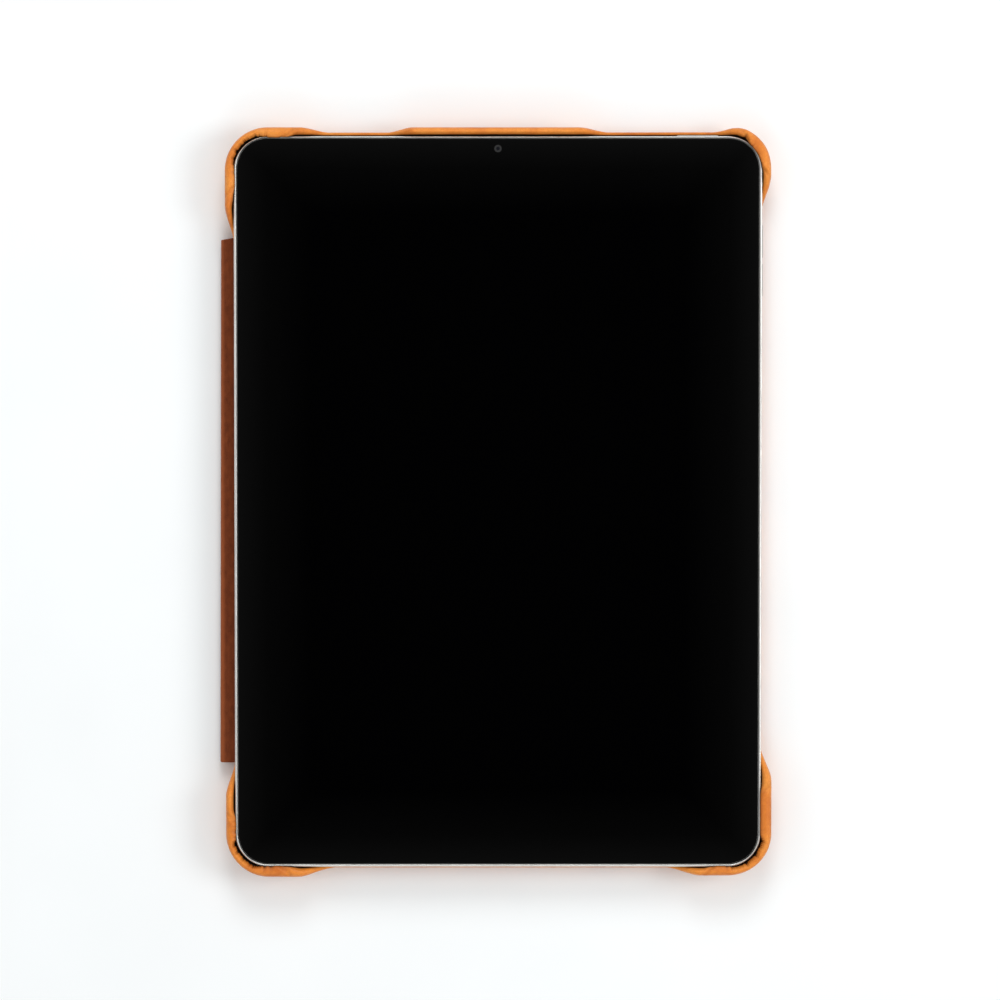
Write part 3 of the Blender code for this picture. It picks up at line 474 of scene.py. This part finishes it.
# How far the wall has risen, by millimetres clockwise round the rim from the middle of the top.
RISE = (
    (0, 1), (27.8, 1), (37.2, 0), (72.5, 0), (82.5, 1), (TOP_RIGHT + 2, 1), (TOP_RIGHT + 14.5, 0),
    (BOTTOM_RIGHT - 29.7, 0), (BOTTOM_RIGHT - 19.2, 1), (BOTTOM_RIGHT + ARC + 9.4, 1),
    (BOTTOM_RIGHT + ARC + 20.3, 0), (BOTTOM_LEFT - 22.3, 0), (BOTTOM_LEFT - 10.8, 1),
    (BOTTOM_LEFT + ARC + 12.8, 1), (BOTTOM_LEFT + ARC + 22.9, 0), (TOP_LEFT - 23.3, 0),
    (TOP_LEFT - 12.1, 1), (TOP_LEFT + ARC + 11.2, 1), (TOP_LEFT + ARC + 20.3, 0), (WHOLE_WAY - 37.2, 0),
    (WHOLE_WAY - 29.1, 1), (WHOLE_WAY, 1),
)
# How far out the low edge stands: the top and bottom show a narrow band, the right is flush.
LOW_EDGE = (
    (0, 1.4), (72, 1.5), (TOP_RIGHT + 2, 0.3), (TOP_RIGHT + 12, -0.15), (BOTTOM_RIGHT - 28, -0.15),
    (BOTTOM_RIGHT - 12, 0.6), (BOTTOM_RIGHT + ARC + 10, 0.95), (BOTTOM_LEFT - 5, 0.95),
    (BOTTOM_LEFT + ARC + 12, 0.9), (BOTTOM_LEFT + ARC + 22.6, 0.45), (BOTTOM_LEFT + ARC + 24, 0.05),
    (TOP_LEFT - 24.2, 0.05), (TOP_LEFT - 22.8, 0.45), (TOP_LEFT - 12, 0.9), (TOP_LEFT + ARC, 1.4),
    (WHOLE_WAY, 1.4),
)


def along_table(table, way):
    """A value from a table by distance round the rim, easing in and out between its entries."""
    for (start, first), (end, second) in zip(table, table[1:]):
        if way <= end:
            share = max(0.0, (way - start) / (end - start))
            return first + (second - first) * (0.4 * share + 0.6 * share * share * (3 - 2 * share))
    return table[-1][1]


def way_round(held, direction):
    """Millimetres clockwise round the reader's rim from the middle of the top."""
    turn = math.atan2(direction.x, direction.y) % (2 * math.pi)
    quarter = round(turn / (math.pi / 2)) % 4
    x, y = held.x / MM, held.y / MM
    if quarter == 0 and x < -0.001:
        passed = 4 * (SIDE_X + SIDE_Y) + x
        turn += 2 * math.pi if turn < math.pi else 0
    else:
        passed = (x, SIDE_X + SIDE_Y - y, 2 * (SIDE_X + SIDE_Y) - x, 3 * (SIDE_X + SIDE_Y) + y)[quarter]
    return turn * READER_CORNER / MM + passed


def rising_wall(bm, sections, spacing, steps):
    """A tray whose wall's section changes round the rim; sections gives it from the way round."""
    loop = rounded_loop(bm, HALF_X, HALF_Y, READER_CORNER, steps, spacing)
    shade = bm.verts.layers.float.new("shade")
    ring = extrude_rings(bm, loop, len(sections(0.0)))
    known = {}
    for vert in bm.verts:
        direction, held = outward(vert.co, HALF_X, HALF_Y, READER_CORNER)
        way = way_round(held, direction)
        key = round(way, 3)
        if key not in known:
            known[key] = sections(way)
        out, height, dark = known[key][vert[ring]]
        vert.co = (vert.co.x + direction.x * out * MM, vert.co.y + direction.y * out * MM,
                   shell_base + height * MM)
        vert[shade] = dark


def between(low, high, share):
    return [(a[0] + (b[0] - a[0]) * share, a[1] + (b[1] - a[1]) * share) for a, b in zip(low, high)]


def core_section(way):
    rise, edge = along_table(RISE, way), along_table(LOW_EDGE, way)
    high = [(-6, 1.1), (-0.5, 1.1), (0.05, 1.75), (0.2, 3.1), (0.5, 4.2), (1.05, 5.2), (1.55, 6.2),
            (1.85, 7.4), (1.75, 8.2), (1.35, 8.4), (0.95, 8.1), (0.9, 6.6), (0.6, 5.2), (0.35, 4.0),
            (-0.3, 3.2), (-0.6, 2.3), (-6, 2.3)]
    low = [(edge - 6, 1.1), (edge - 1.6, 1.1), (edge - 1.2, 1.2)]
    low += [(edge - 1.15, 1.3 + 0.1 * step) for step in range(8)]
    low += [(edge - 1.2, 2.15), (edge - 1.25, 2.2), (edge - 1.3, 2.24), (edge - 1.4, 2.27),
            (edge - 1.5, 2.3), (edge - 6, 2.3)]
    return [(out, height, 0.0) for out, height in between(low, high, rise)]


bm = bmesh.new()
rising_wall(bm, core_section, 1.5 * MM, 16)
core = piece("moulded_tray", bm, moulded_plastic("dark_moulding", (0.016, 0.012, 0.01)), 60)
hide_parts("case_shell")
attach(core, "reader_in_shell")


# Leather wrap: vegetable-tanned hide about 0.8 mm thick, dyed cognac, skived and glued over the
# shell. It is turned over each grip's rim, where it gathers into small pleats inside the corners.
# Where the lip's inner edge lies past the reader's edge, by the same way round; below 0 it overhangs.
LIP = (
    (0, 0.62), (30, 0.62), (36, 0.5), (74, 0.55), (80, 0.8), (83.3, 0.95), (85.2, -0.05), (88, -0.25),
    (TOP_RIGHT - 2, -0.1), (TOP_RIGHT + 1.2, 0.42), (TOP_RIGHT + 12, 0.5), (BOTTOM_RIGHT - 25, 0.5),
    (BOTTOM_RIGHT - 17, 0.35), (BOTTOM_RIGHT - 13, -0.22), (BOTTOM_RIGHT - 0.5, -0.25),
    (BOTTOM_RIGHT + 3, 0.65), (BOTTOM_RIGHT + 9, 0.8), (BOTTOM_RIGHT + 14.5, 0.7),
    (BOTTOM_RIGHT + ARC - 0.5, -0.1), (BOTTOM_RIGHT + ARC + 2.9, -0.45), (BOTTOM_RIGHT + ARC + 5.6, -0.1),
    (BOTTOM_RIGHT + ARC + 8, 0.55), (BOTTOM_LEFT - 11, 0.6), (BOTTOM_LEFT - 6.2, -0.15),
    (BOTTOM_LEFT - 2.5, -0.3), (BOTTOM_LEFT + 1.6, -0.05), (BOTTOM_LEFT + 4, 0.8), (BOTTOM_LEFT + 9, 1.0),
    (BOTTOM_LEFT + 14, 0.85), (BOTTOM_LEFT + ARC - 1, -0.2), (BOTTOM_LEFT + ARC + 2, -0.5),
    (BOTTOM_LEFT + ARC + 4.6, -0.25), (BOTTOM_LEFT + ARC + 8, 0.5), (TOP_LEFT - 13, 0.6),
    (TOP_LEFT - 8.5, 0.1), (TOP_LEFT - 5, -0.4), (TOP_LEFT + 0.4, -0.3), (TOP_LEFT + 3, 0.6),
    (TOP_LEFT + 9, 0.85), (TOP_LEFT + 14, 0.7), (TOP_LEFT + ARC - 1.3, -0.15), (TOP_LEFT + ARC + 3, -0.42),
    (TOP_LEFT + ARC + 6.8, -0.25), (TOP_LEFT + ARC + 9.5, 0.55), (WHOLE_WAY, 0.62),
)
# Where the gathered leather is pleated: inside the corners, and faintly beside them.
PLEATS = (
    (0, 0.0), (79, 0.0), (83, 1.0), (86, 0.5), (TOP_RIGHT, 0.25), (TOP_RIGHT + 6, 0.0),
    (BOTTOM_RIGHT - 6, 0.0), (BOTTOM_RIGHT + 3, 0.8), (BOTTOM_RIGHT + 15, 0.8),
    (BOTTOM_RIGHT + ARC + 8, 0.15), (350, 0.0), (BOTTOM_LEFT - 8, 0.0), (BOTTOM_LEFT + 2, 1.0),
    (BOTTOM_LEFT + 16, 1.0), (BOTTOM_LEFT + ARC + 8, 0.0), (TOP_LEFT - 6, 0.0), (TOP_LEFT + 3, 0.9),
    (TOP_LEFT + 15, 0.9), (TOP_LEFT + ARC + 9, 0.1), (TOP_LEFT + ARC + 16, 0.0), (WHOLE_WAY, 0.0),
)
# How much fuller than usual a grip stands out, where the hide has bulged away from the core.
SWELL = (
    (0, 0.0), (74, 0.0), (79, 0.55), (88, 0.5), (TOP_RIGHT, 0.0), (BOTTOM_RIGHT - 24, 0.0),
    (BOTTOM_RIGHT - 17, 0.62), (BOTTOM_RIGHT + 4, 0.6), (BOTTOM_RIGHT + ARC - 1, 0.05),
    (BOTTOM_LEFT - 18, 0.0), (BOTTOM_LEFT - 9, 0.55), (BOTTOM_LEFT + 1, 0.5), (BOTTOM_LEFT + ARC, 0.12),
    (TOP_LEFT - 20, 0.0), (WHOLE_WAY, 0.0),
)
# Where the lip draws back beside a corner, and which way along the rim the diagonal tuck there runs.
TUCKS = (
    (84.5, -1), (TOP_RIGHT - 1, 1), (BOTTOM_RIGHT - 13, -1), (BOTTOM_RIGHT + ARC + 4.5, 1),
    (BOTTOM_LEFT - 4, -1), (BOTTOM_LEFT + ARC + 3.5, 1), (TOP_LEFT - 5, -1), (TOP_LEFT + ARC + 5.5, 1),
)
TUCK_RUN, TUCK_DEPTH = 4.5, 0.48
# A grip's widest place and top, and the steps of its rim's half circle, from the outer side to the lip.
WIDEST, GRIP_TOP = 3.05, 10.6
RIM_ANGLES = range(0, 181, 12)


def tucked(way, angle):
    """How deep a tuck's crease is at this place on the rim; a low ridge beside it is negative."""
    total = 0.0
    for start, side in TUCKS:
        past = (way - start) * side - TUCK_RUN * (1 - angle / 180)
        total += math.exp(-(past / 0.85) ** 2) - 0.7 * math.exp(-((past + 1.9) / 1.1) ** 2)
    return total


def leather_section(way):
    rise, edge = along_table(RISE, way), along_table(LOW_EDGE, way)
    lip, pleated = along_table(LIP, way), along_table(PLEATS, way)
    wave = noise.noise((way * 0.11, 3.0, 0.0)) * 0.14
    folds = max(0.0, noise.noise((way * 0.8, 0.0, 7.0)) * 1.1)
    folds += abs(noise.noise((way * 1.7, 5.0, 1.0))) * 1.5
    lip += wave * (1 - pleated) + pleated * (folds - 0.4) * 0.6
    drop = 1.0 + 1.5 * max(0.0, min(1.0, lip / 0.6))
    widest = WIDEST + along_table(SWELL, way)
    middle, half = (widest + lip) / 2, (widest - lip) / 2
    high = [(-6, 0), (-0.15, 0), (0.48, 0.17), (0.93, 0.62), (1.1, 1.25), (1.2, 2.2), (1.3, 3.1),
            (1.62, 4.2), (2.2, 5.3), (2.72, 6.2), (2.98, 7.0)]
    low = [(edge - 6, 0), (edge - 1.25, 0), (edge - 0.62, 0.17), (edge - 0.17, 0.62), (edge, 1.2),
           (edge, 1.5), (edge, 1.8), (edge, 2.1), (edge, 2.3), (edge, 2.5), (edge, 2.65)]
    dark = [0.0] * len(high)
    for angle in RIM_ANGLES:
        turn = math.radians(angle)
        lift = 3.0 if angle <= 90 else drop
        tuck = tucked(way, angle) * math.sin(turn) ** 0.7
        sunk = pleated * folds * 0.5 * max(0.0, math.sin(turn / 2)) ** 4 + TUCK_DEPTH * tuck
        high.append((middle + half * math.cos(turn), GRIP_TOP - lift * (1 - math.sin(turn)) - sunk))
        low.append((edge - 0.5 + 0.5 * math.cos(turn), 2.8 + 0.5 * math.sin(turn)))
        # Painted shade, kept in the shade attribute: darker towards the lip's inner edge, in the pleats'
        # folds, in the tucks' creases and on the rim's outer side.
        inner = max(0.0, (angle - 118) / 62)
        dark.append(min(1.0, inner ** 1.5 * 0.8 + pleated * folds * 0.7 * max(0.0, (angle - 60) / 120)
                        + 0.2 * max(0.0, tuck) + 0.26 * max(0.0, 1 - angle / 50)))
    high += [(lip + 0.3, 10.5 - drop), (max(lip + 0.6, 1.0), 10.4 - drop), (2.1, 8.6), (2.2, 7.4),
             (1.9, 6.2), (1.4, 5.2), (0.85, 4.2), (0.5, 3.1), (0.35, 2.2), (0.2, 1.5), (-0.45, 0.85),
             (-6, 0.8)]
    low += [(edge - 1.0, 2.55), (edge - 0.97, 2.45), (edge - 0.9, 2.4), (edge - 0.85, 2.3),
            (edge - 0.82, 2.2), (edge - 0.8, 2.1), (edge - 0.8, 2.0), (edge - 0.8, 1.9), (edge - 0.8, 1.7),
            (edge - 0.82, 1.4), (edge - 1.3, 0.85), (edge - 6, 0.8)]
    # Painted shade: the faces under the lip and the floor inside it are painted fully shaded.
    dark += [1.0] * (len(high) - len(dark))
    return [(out, height, deep) for (out, height), deep in zip(between(low, high, rise), dark)]


def tanned_hide(name, tone, deep, pale):
    """Full-grain hide: small pebbles parted by creases, pores, cloudy dye, and painted shade on the turned
    edges, pleats and rim, read from the wrap's shade attribute.
    """
    made = Finish(name, Specular_IOR_Level=0.3)
    stirred = made.add("ShaderNodeTexNoise", Vector=made.place, Scale=900.0, Detail=2.0).outputs["Color"]
    warp = made.add("ShaderNodeVectorMath", [("operation", "MULTIPLY_ADD")], Vector=stirred)
    warp.inputs[1].default_value = (0.5 * MM,) * 3
    made.tree.links.new(made.place, warp.inputs[2])
    warped = warp.outputs["Vector"]
    pebbles = made.cells(0.85, "SMOOTH_F1", warped)
    creases = made.ramp(made.cells(1.7, "DISTANCE_TO_EDGE", warped), (0.0, 0.0), (0.12, 1.0))
    pores = made.ramp(made.cells(0.5), (0.05, 0.0), (0.2, 1.0))
    clouds = made.grain(14.0, 5.0, 0.6)
    made.bump(made.grain(5.5, 3.0, 0.5), 0.16, 0.5)
    made.bump(pebbles, 0.09, 0.45)
    made.bump(creases, 0.04, 0.5)
    dyed = made.ramp(clouds, (0.28, deep), (0.5, tone), (0.74, pale))
    speckled = made.mix(made.ramp(made.grain(0.45, 3.0, 0.7), (0.42, 0.0), (0.72, 0.34)), dyed, deep)
    worn = made.mix(made.ramp(creases, (0.0, 0.28), (1.0, 0.0)), speckled, deep)
    pored = made.mix(made.ramp(pores, (0.0, 0.35), (1.0, 0.0)), worn, deep)
    # Painted shade: where the shade attribute is high the hide is mixed towards a near-black brown.
    shade = made.add("ShaderNodeAttribute", [("attribute_name", "shade")]).outputs["Fac"]
    painted_shade_share = made.ramp(shade, (0.0, 0.0), (1.0, 0.92))
    painted_shade_colour = tuple(c * 0.22 for c in deep)
    gloss = made.ramp(made.grain(3.0, 4.0, 0.6), (0.3, 0.4), (0.75, 0.58))
    return made.paint(Base_Color=made.mix(painted_shade_share, pored, painted_shade_colour), Roughness=gloss)


cognac = tanned_hide("cognac_hide", (0.78, 0.252, 0.031), (0.53, 0.122, 0.012), (0.86, 0.35, 0.064))
bm = bmesh.new()
rising_wall(bm, leather_section, 0.6 * MM, 64)
wrap = piece("leather_wrap", bm, cognac, 70)
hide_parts("shell_leather")
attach(wrap, "reader_in_shell")


# Shell liner and cover lining: brushed microfibre with a short nap, with painted sheen in patches where the
# nap catches light, cut to shape and glued down. The lining covers the leather's turned edges to a border of
# 3 mm.
def brushed_microfibre():
    made = Finish("brushed_microfibre", Roughness=0.95, Specular_IOR_Level=0.2, Sheen_Weight=0.5,
                  Sheen_Roughness=0.5)
    nap = made.grain(0.22, 3.0, 0.7, made.stretched(1.0, 0.4, 1.0))
    made.bump(nap, 0.08, 0.7)
    # Painted sheen: the colour drifts between a darker and a lighter brown in broad patches.
    painted_sheen_patches = made.ramp(made.grain(22.0, 5.0, 0.62), (0.3, (0.105, 0.05, 0.024)), (0.7, (0.17, 0.085, 0.042)))
    tips = made.ramp(nap, (0.35, 0.0), (0.75, 0.5))
    return made.paint(Base_Color=made.mix(tips, painted_sheen_patches, (0.24, 0.13, 0.068)))


microfibre = brushed_microfibre()
dress(microfibre, "shell_liner")
cover_low, cover_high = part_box("cover_leather")
COVER_X, COVER_Y = (cover_high.x - cover_low.x) / 2, cover_high.y
COVER_MIDDLE = (cover_high.x + cover_low.x) / 2
COVER_CORNER = 10 * MM
LINING_SECTION = (
    (-9.0, 0.0), (-3.1, 0.0), (-2.93, 0.03), (-2.82, 0.12), (-2.8, 0.3), (-3.0, 0.33), (-9.0, 0.33),
)
bm = bmesh.new()
turned_wall(bm, COVER_X, COVER_Y, COVER_CORNER, LINING_SECTION, cover_low.z, 20, COVER_MIDDLE)
lining = piece("lining_panel", bm, microfibre)
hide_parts("cover_lining")
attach(lining, "cover")

# Cover leather: the same hide turned round the board's four edges and 6 mm in beneath the lining.
# Its edge is a soft roll, with no stitching.
COVER_SECTION = (
    (-9.0, 3.2), (-2.2, 3.2), (-1.3, 3.13), (-0.62, 2.88), (-0.2, 2.45), (-0.02, 1.9), (0.0, 1.5),
    (-0.12, 1.05), (-0.42, 0.68), (-0.9, 0.44), (-1.5, 0.36), (-2.6, 0.36), (-8.0, 0.36), (-8.2, 0.5),
    (-8.0, 0.82), (-1.3, 0.84), (-0.95, 1.1), (-0.9, 2.0), (-1.25, 2.32), (-2.2, 2.4), (-9.0, 2.4),
)
bm = bmesh.new()
turned_wall(bm, COVER_X, COVER_Y, COVER_CORNER, COVER_SECTION, cover_low.z, 20, COVER_MIDDLE)
cover_skin = piece("cover_hide", bm, cognac, 70)
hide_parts("cover_leather")
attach(cover_skin, "cover")


# Cover board and magnets: grey bookbinder's board with four pockets, and a nickel-plated disc
# magnet pressed into each, which holds the cover shut.
def grey_board():
    made = Finish("binders_board", Roughness=0.95)
    fibres = made.grain(0.8, 6.0, 0.7, made.stretched(0.25, 1.0, 1.0))
    made.bump(fibres, 0.06, 0.6)
    return made.paint(Base_Color=made.ramp(fibres, (0.3, (0.2, 0.185, 0.16)), (0.7, (0.36, 0.34, 0.3))))


dress(grey_board(), "cover_board")
dress(blasted_aluminium("nickel_plate", (0.72, 0.68, 0.6)),
      *[f"cover_magnet_{number}" for number in range(1, 5)])


# Hinge strip: one band of darker suede-finished leather over stiffeners, glued into the shell at one
# end and the cover at the other. Each skin below spans one crease, from mid-bar to mid-bar.
STRIP_HALF, STRIP_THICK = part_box("hinge_strip_upper")[1].y, 1.2 * MM
HINGES = {j["name"]: Vector(j["pos_m"]) / MM for j in frame["joints"] if j["type"] == "hinge"}
A, B = HINGES["strip_shell_crease"], HINGES["strip_upper_crease"]
C, D = HINGES["strip_lower_crease"], HINGES["cover_fold"]
BEND, BEND_STEPS = 1.15, 5
# The fold's top end is cut at a slant, and it stands further out towards the bottom, as soft hide does.
TOP_SLANT, FOLD_OUT, FOLD_OUT_MORE = 0.18, 0.2, 0.35
wrap_side = -HALF_X / MM - 0.1


def bent(centre, start):
    """Stations of a quarter turn about a centre, from a starting angle, each as (x, z, heading)."""
    made = []
    for step in range(1, BEND_STEPS):
        angle = start + 90 * step / BEND_STEPS
        turn = math.radians(angle)
        made.append((centre[0] + BEND * math.cos(turn), centre[1] + BEND * math.sin(turn), angle + 90))
    return made


upper_bend = bent((B.x + BEND, B.z - BEND), 90)
lower_bend = bent((C.x + BEND, C.z + BEND), 180)
mid_upper = ((A.x + B.x) / 2, A.z, 180)
mid_edge = (B.x, (B.z + C.z) / 2, 270)
mid_lower = ((C.x + D.x) / 2, C.z, 360)
SKINS = (
    ("strip_skin_shell", [(wrap_side, A.z, 180), (A.x, A.z, 180), (A.x - 0.8, A.z, 180), mid_upper],
     "reader_in_shell", "strip_upper", ()),
    ("strip_skin_upper", [mid_upper, (B.x + BEND, B.z, 180), *upper_bend, (B.x, B.z - BEND, 270), mid_edge],
     "strip_upper", "strip_edge", ("hinge_strip_upper",)),
    ("strip_skin_lower", [mid_edge, (C.x, C.z + BEND, 270), *lower_bend, (C.x + BEND, C.z, 360), mid_lower],
     "strip_edge", "strip_lower", ("hinge_strip_edge", "hinge_strip_lower")),
    ("strip_skin_cover", [mid_lower, (D.x - 1.3, D.z, 360), (D.x - 0.6, D.z, 360), (D.x, D.z, 360),
                          (D.x + 0.75, D.z + 0.2, 360)],
     "strip_lower", "cover", ()),
)


def napped_hide():
    """Suede: a velvety nap with brushed streaks, and a painted highlight along the fold's outer side, where
    its curve catches the light.
    """
    made = Finish("napped_hide", Roughness=0.9, Specular_IOR_Level=0.2, Sheen_Weight=0.1, Sheen_Roughness=0.4)
    nap = made.grain(0.3, 4.0, 0.7)
    streaks = made.grain(1.6, 4.0, 0.65, made.stretched(1.0, 0.5, 1.0))
    made.bump(nap, 0.12, 0.8)
    made.bump(streaks, 0.12, 0.5)
    ground = made.ramp(streaks, (0.3, (0.095, 0.018, 0.004)), (0.72, (0.185, 0.042, 0.011)))
    tips = made.mix(made.ramp(nap, (0.4, 0.0), (0.7, 0.4)), ground, (0.24, 0.06, 0.018))
    # Painted highlight: the suede is paler within about a millimetre of the fold's outer side.
    x = made.add("ShaderNodeSeparateXYZ", Vector=made.place).outputs["X"]
    outer = made.maths("MULTIPLY_ADD", x, -1 / (1.1 * MM), (B.x + 0.5) / 1.1)
    painted_edge_highlight = made.ramp(outer, (0.0, 0.0), (0.9, 0.5))
    return made.paint(Base_Color=made.mix(painted_edge_highlight, tips, (0.42, 0.108, 0.031)))


suede = napped_hide()
for name, stations, first, second, nodes in SKINS:
    bm = bmesh.new()
    edges = rounded_loop(bm, STRIP_THICK / 2, STRIP_HALF, 0.35 * MM, 4, 4 * MM)
    bmesh.ops.edgeloop_fill(bm, edges=edges)
    # The loop lies flat, its thickness along X and its length along Y: it is stood up across the path.
    placed = [Matrix.Translation((x * MM, 0, z * MM)) @ Matrix.Rotation(math.radians(90 - heading), 4, "Y")
              for x, z, heading in stations]
    bmesh.ops.transform(bm, matrix=placed[0], verts=bm.verts)
    before = placed[0]
    for station in placed[1:]:
        grown = bmesh.ops.extrude_edge_only(bm, edges=edges)["geom"]
        verts = [item for item in grown if isinstance(item, bmesh.types.BMVert)]
        edges = [item for item in grown if isinstance(item, bmesh.types.BMEdge)]
        bmesh.ops.transform(bm, matrix=station @ before.inverted(), verts=verts)
        before = station
    bmesh.ops.edgeloop_fill(bm, edges=edges)
    for vert in bm.verts:
        if vert.co.y > STRIP_HALF - 1 * MM and vert.co.z > B.z * MM - 1 * MM:
            vert.co.y += (vert.co.x - B.x * MM) * TOP_SLANT
        share = max(0.0, min(1.0, (A.x * MM - vert.co.x) / ((A.x - B.x) * MM)))
        vert.co.x -= share * (FOLD_OUT + FOLD_OUT_MORE * (1 - vert.co.y / STRIP_HALF)) * MM
    skin = piece(name, bm, suede, 50)
    if nodes:
        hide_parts(*nodes)
    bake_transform(skin)

# Studio: a plain white table, a white surround brightest overhead, with a small dark patch where the
# camera hangs, and a broad soft lamp beyond each edge, those at the top and right the brightest.
bm = bmesh.new()
bmesh.ops.create_grid(bm, x_segments=8, y_segments=8, size=3.0)
bmesh.ops.translate(bm, vec=(0, 0, -0.05 * MM), verts=bm.verts)
tabletop = Finish("white_tabletop", Roughness=0.9, Specular_IOR_Level=0.1)
white = tabletop.ramp(tabletop.grain(60.0), (0.3, (0.865, 0.892, 0.9)), (0.7, (0.885, 0.912, 0.92)))
table = piece("tabletop", bm, tabletop.paint(Base_Color=white))

PATCH_TILT, PATCH_OUTER, PATCH_INNER = (math.radians(angle) for angle in (6, 19, 8))
SURROUND, LAMP_AWAY, LAMP_UP, LAMP_ACROSS = 0.73, 0.98, 0.9, 0.6
world = bpy.data.worlds.new("surround")
bpy.context.scene.world = world
world.use_nodes = True
tree = world.node_tree
facing = tree.nodes.new("ShaderNodeVectorMath")
facing.operation = "DOT_PRODUCT"
tree.links.new(tree.nodes.new("ShaderNodeTexCoord").outputs["Generated"], facing.inputs[0])
facing.inputs[1].default_value = (0, -math.sin(PATCH_TILT), math.cos(PATCH_TILT))
light = tree.nodes.new("ShaderNodeMath")
light.operation = "MULTIPLY"
# First the dark patch, then the dome, which dims towards the table: what each reads and what it gives.
for socket, limits in zip(light.inputs, ((math.cos(PATCH_OUTER), math.cos(PATCH_INNER), 1.0, 0.004),
                                         (0.0, 0.75, 0.35, 1.0))):
    share = tree.nodes.new("ShaderNodeMapRange")
    share.interpolation_type = "SMOOTHSTEP"
    tree.links.new(facing.outputs["Value"], share.inputs["Value"])
    for name, value in zip(("From Min", "From Max", "To Min", "To Max"), limits):
        share.inputs[name].default_value = value
    tree.links.new(share.outputs["Result"], socket)
background = tree.nodes["Background"]
tree.links.new(light.outputs["Value"], background.inputs["Color"])
background.inputs["Strength"].default_value = SURROUND

for name, bearing, energy in (("lamp_top", 90, 6.2), ("lamp_left", 170, 1.2), ("lamp_right", 5, 5.6),
                              ("lamp_bottom", 270, 1.9)):
    lamp = bpy.data.lights.new(name, "AREA")
    lamp.shape = "DISK"
    lamp.size = LAMP_ACROSS
    lamp.energy = energy
    stand = bpy.data.objects.new(name, lamp)
    bpy.context.scene.collection.objects.link(stand)
    turn = math.radians(bearing)
    stand.location = (LAMP_AWAY * math.cos(turn), LAMP_AWAY * math.sin(turn), LAMP_UP)
    stand.rotation_mode = "QUATERNION"
    stand.rotation_quaternion = (-stand.location).to_track_quat("-Z", "Y")

# Camera: nearly straight above, from a little beyond the top edge, with the screen's plane in focus.
camera = bpy.data.cameras.new("overhead_camera")
camera_stand = bpy.data.objects.new("overhead_camera", camera)
bpy.context.scene.collection.objects.link(camera_stand)
bpy.context.scene.camera = camera_stand
AWAY, TILT, FIELD = 1.6, math.radians(2.6), 338.5 * MM
aim = Vector((0.68 * MM, 0.95 * MM, glass_high.z))
camera_stand.location = aim + Vector((0, AWAY * math.sin(TILT), AWAY * math.cos(TILT)))
camera_stand.rotation_euler = (-TILT, 0, 0)
camera.sensor_width = 36
camera.lens = camera.sensor_width * AWAY / FIELD
camera.clip_end = 20
bpy.context.scene.view_settings.view_transform = "Standard"
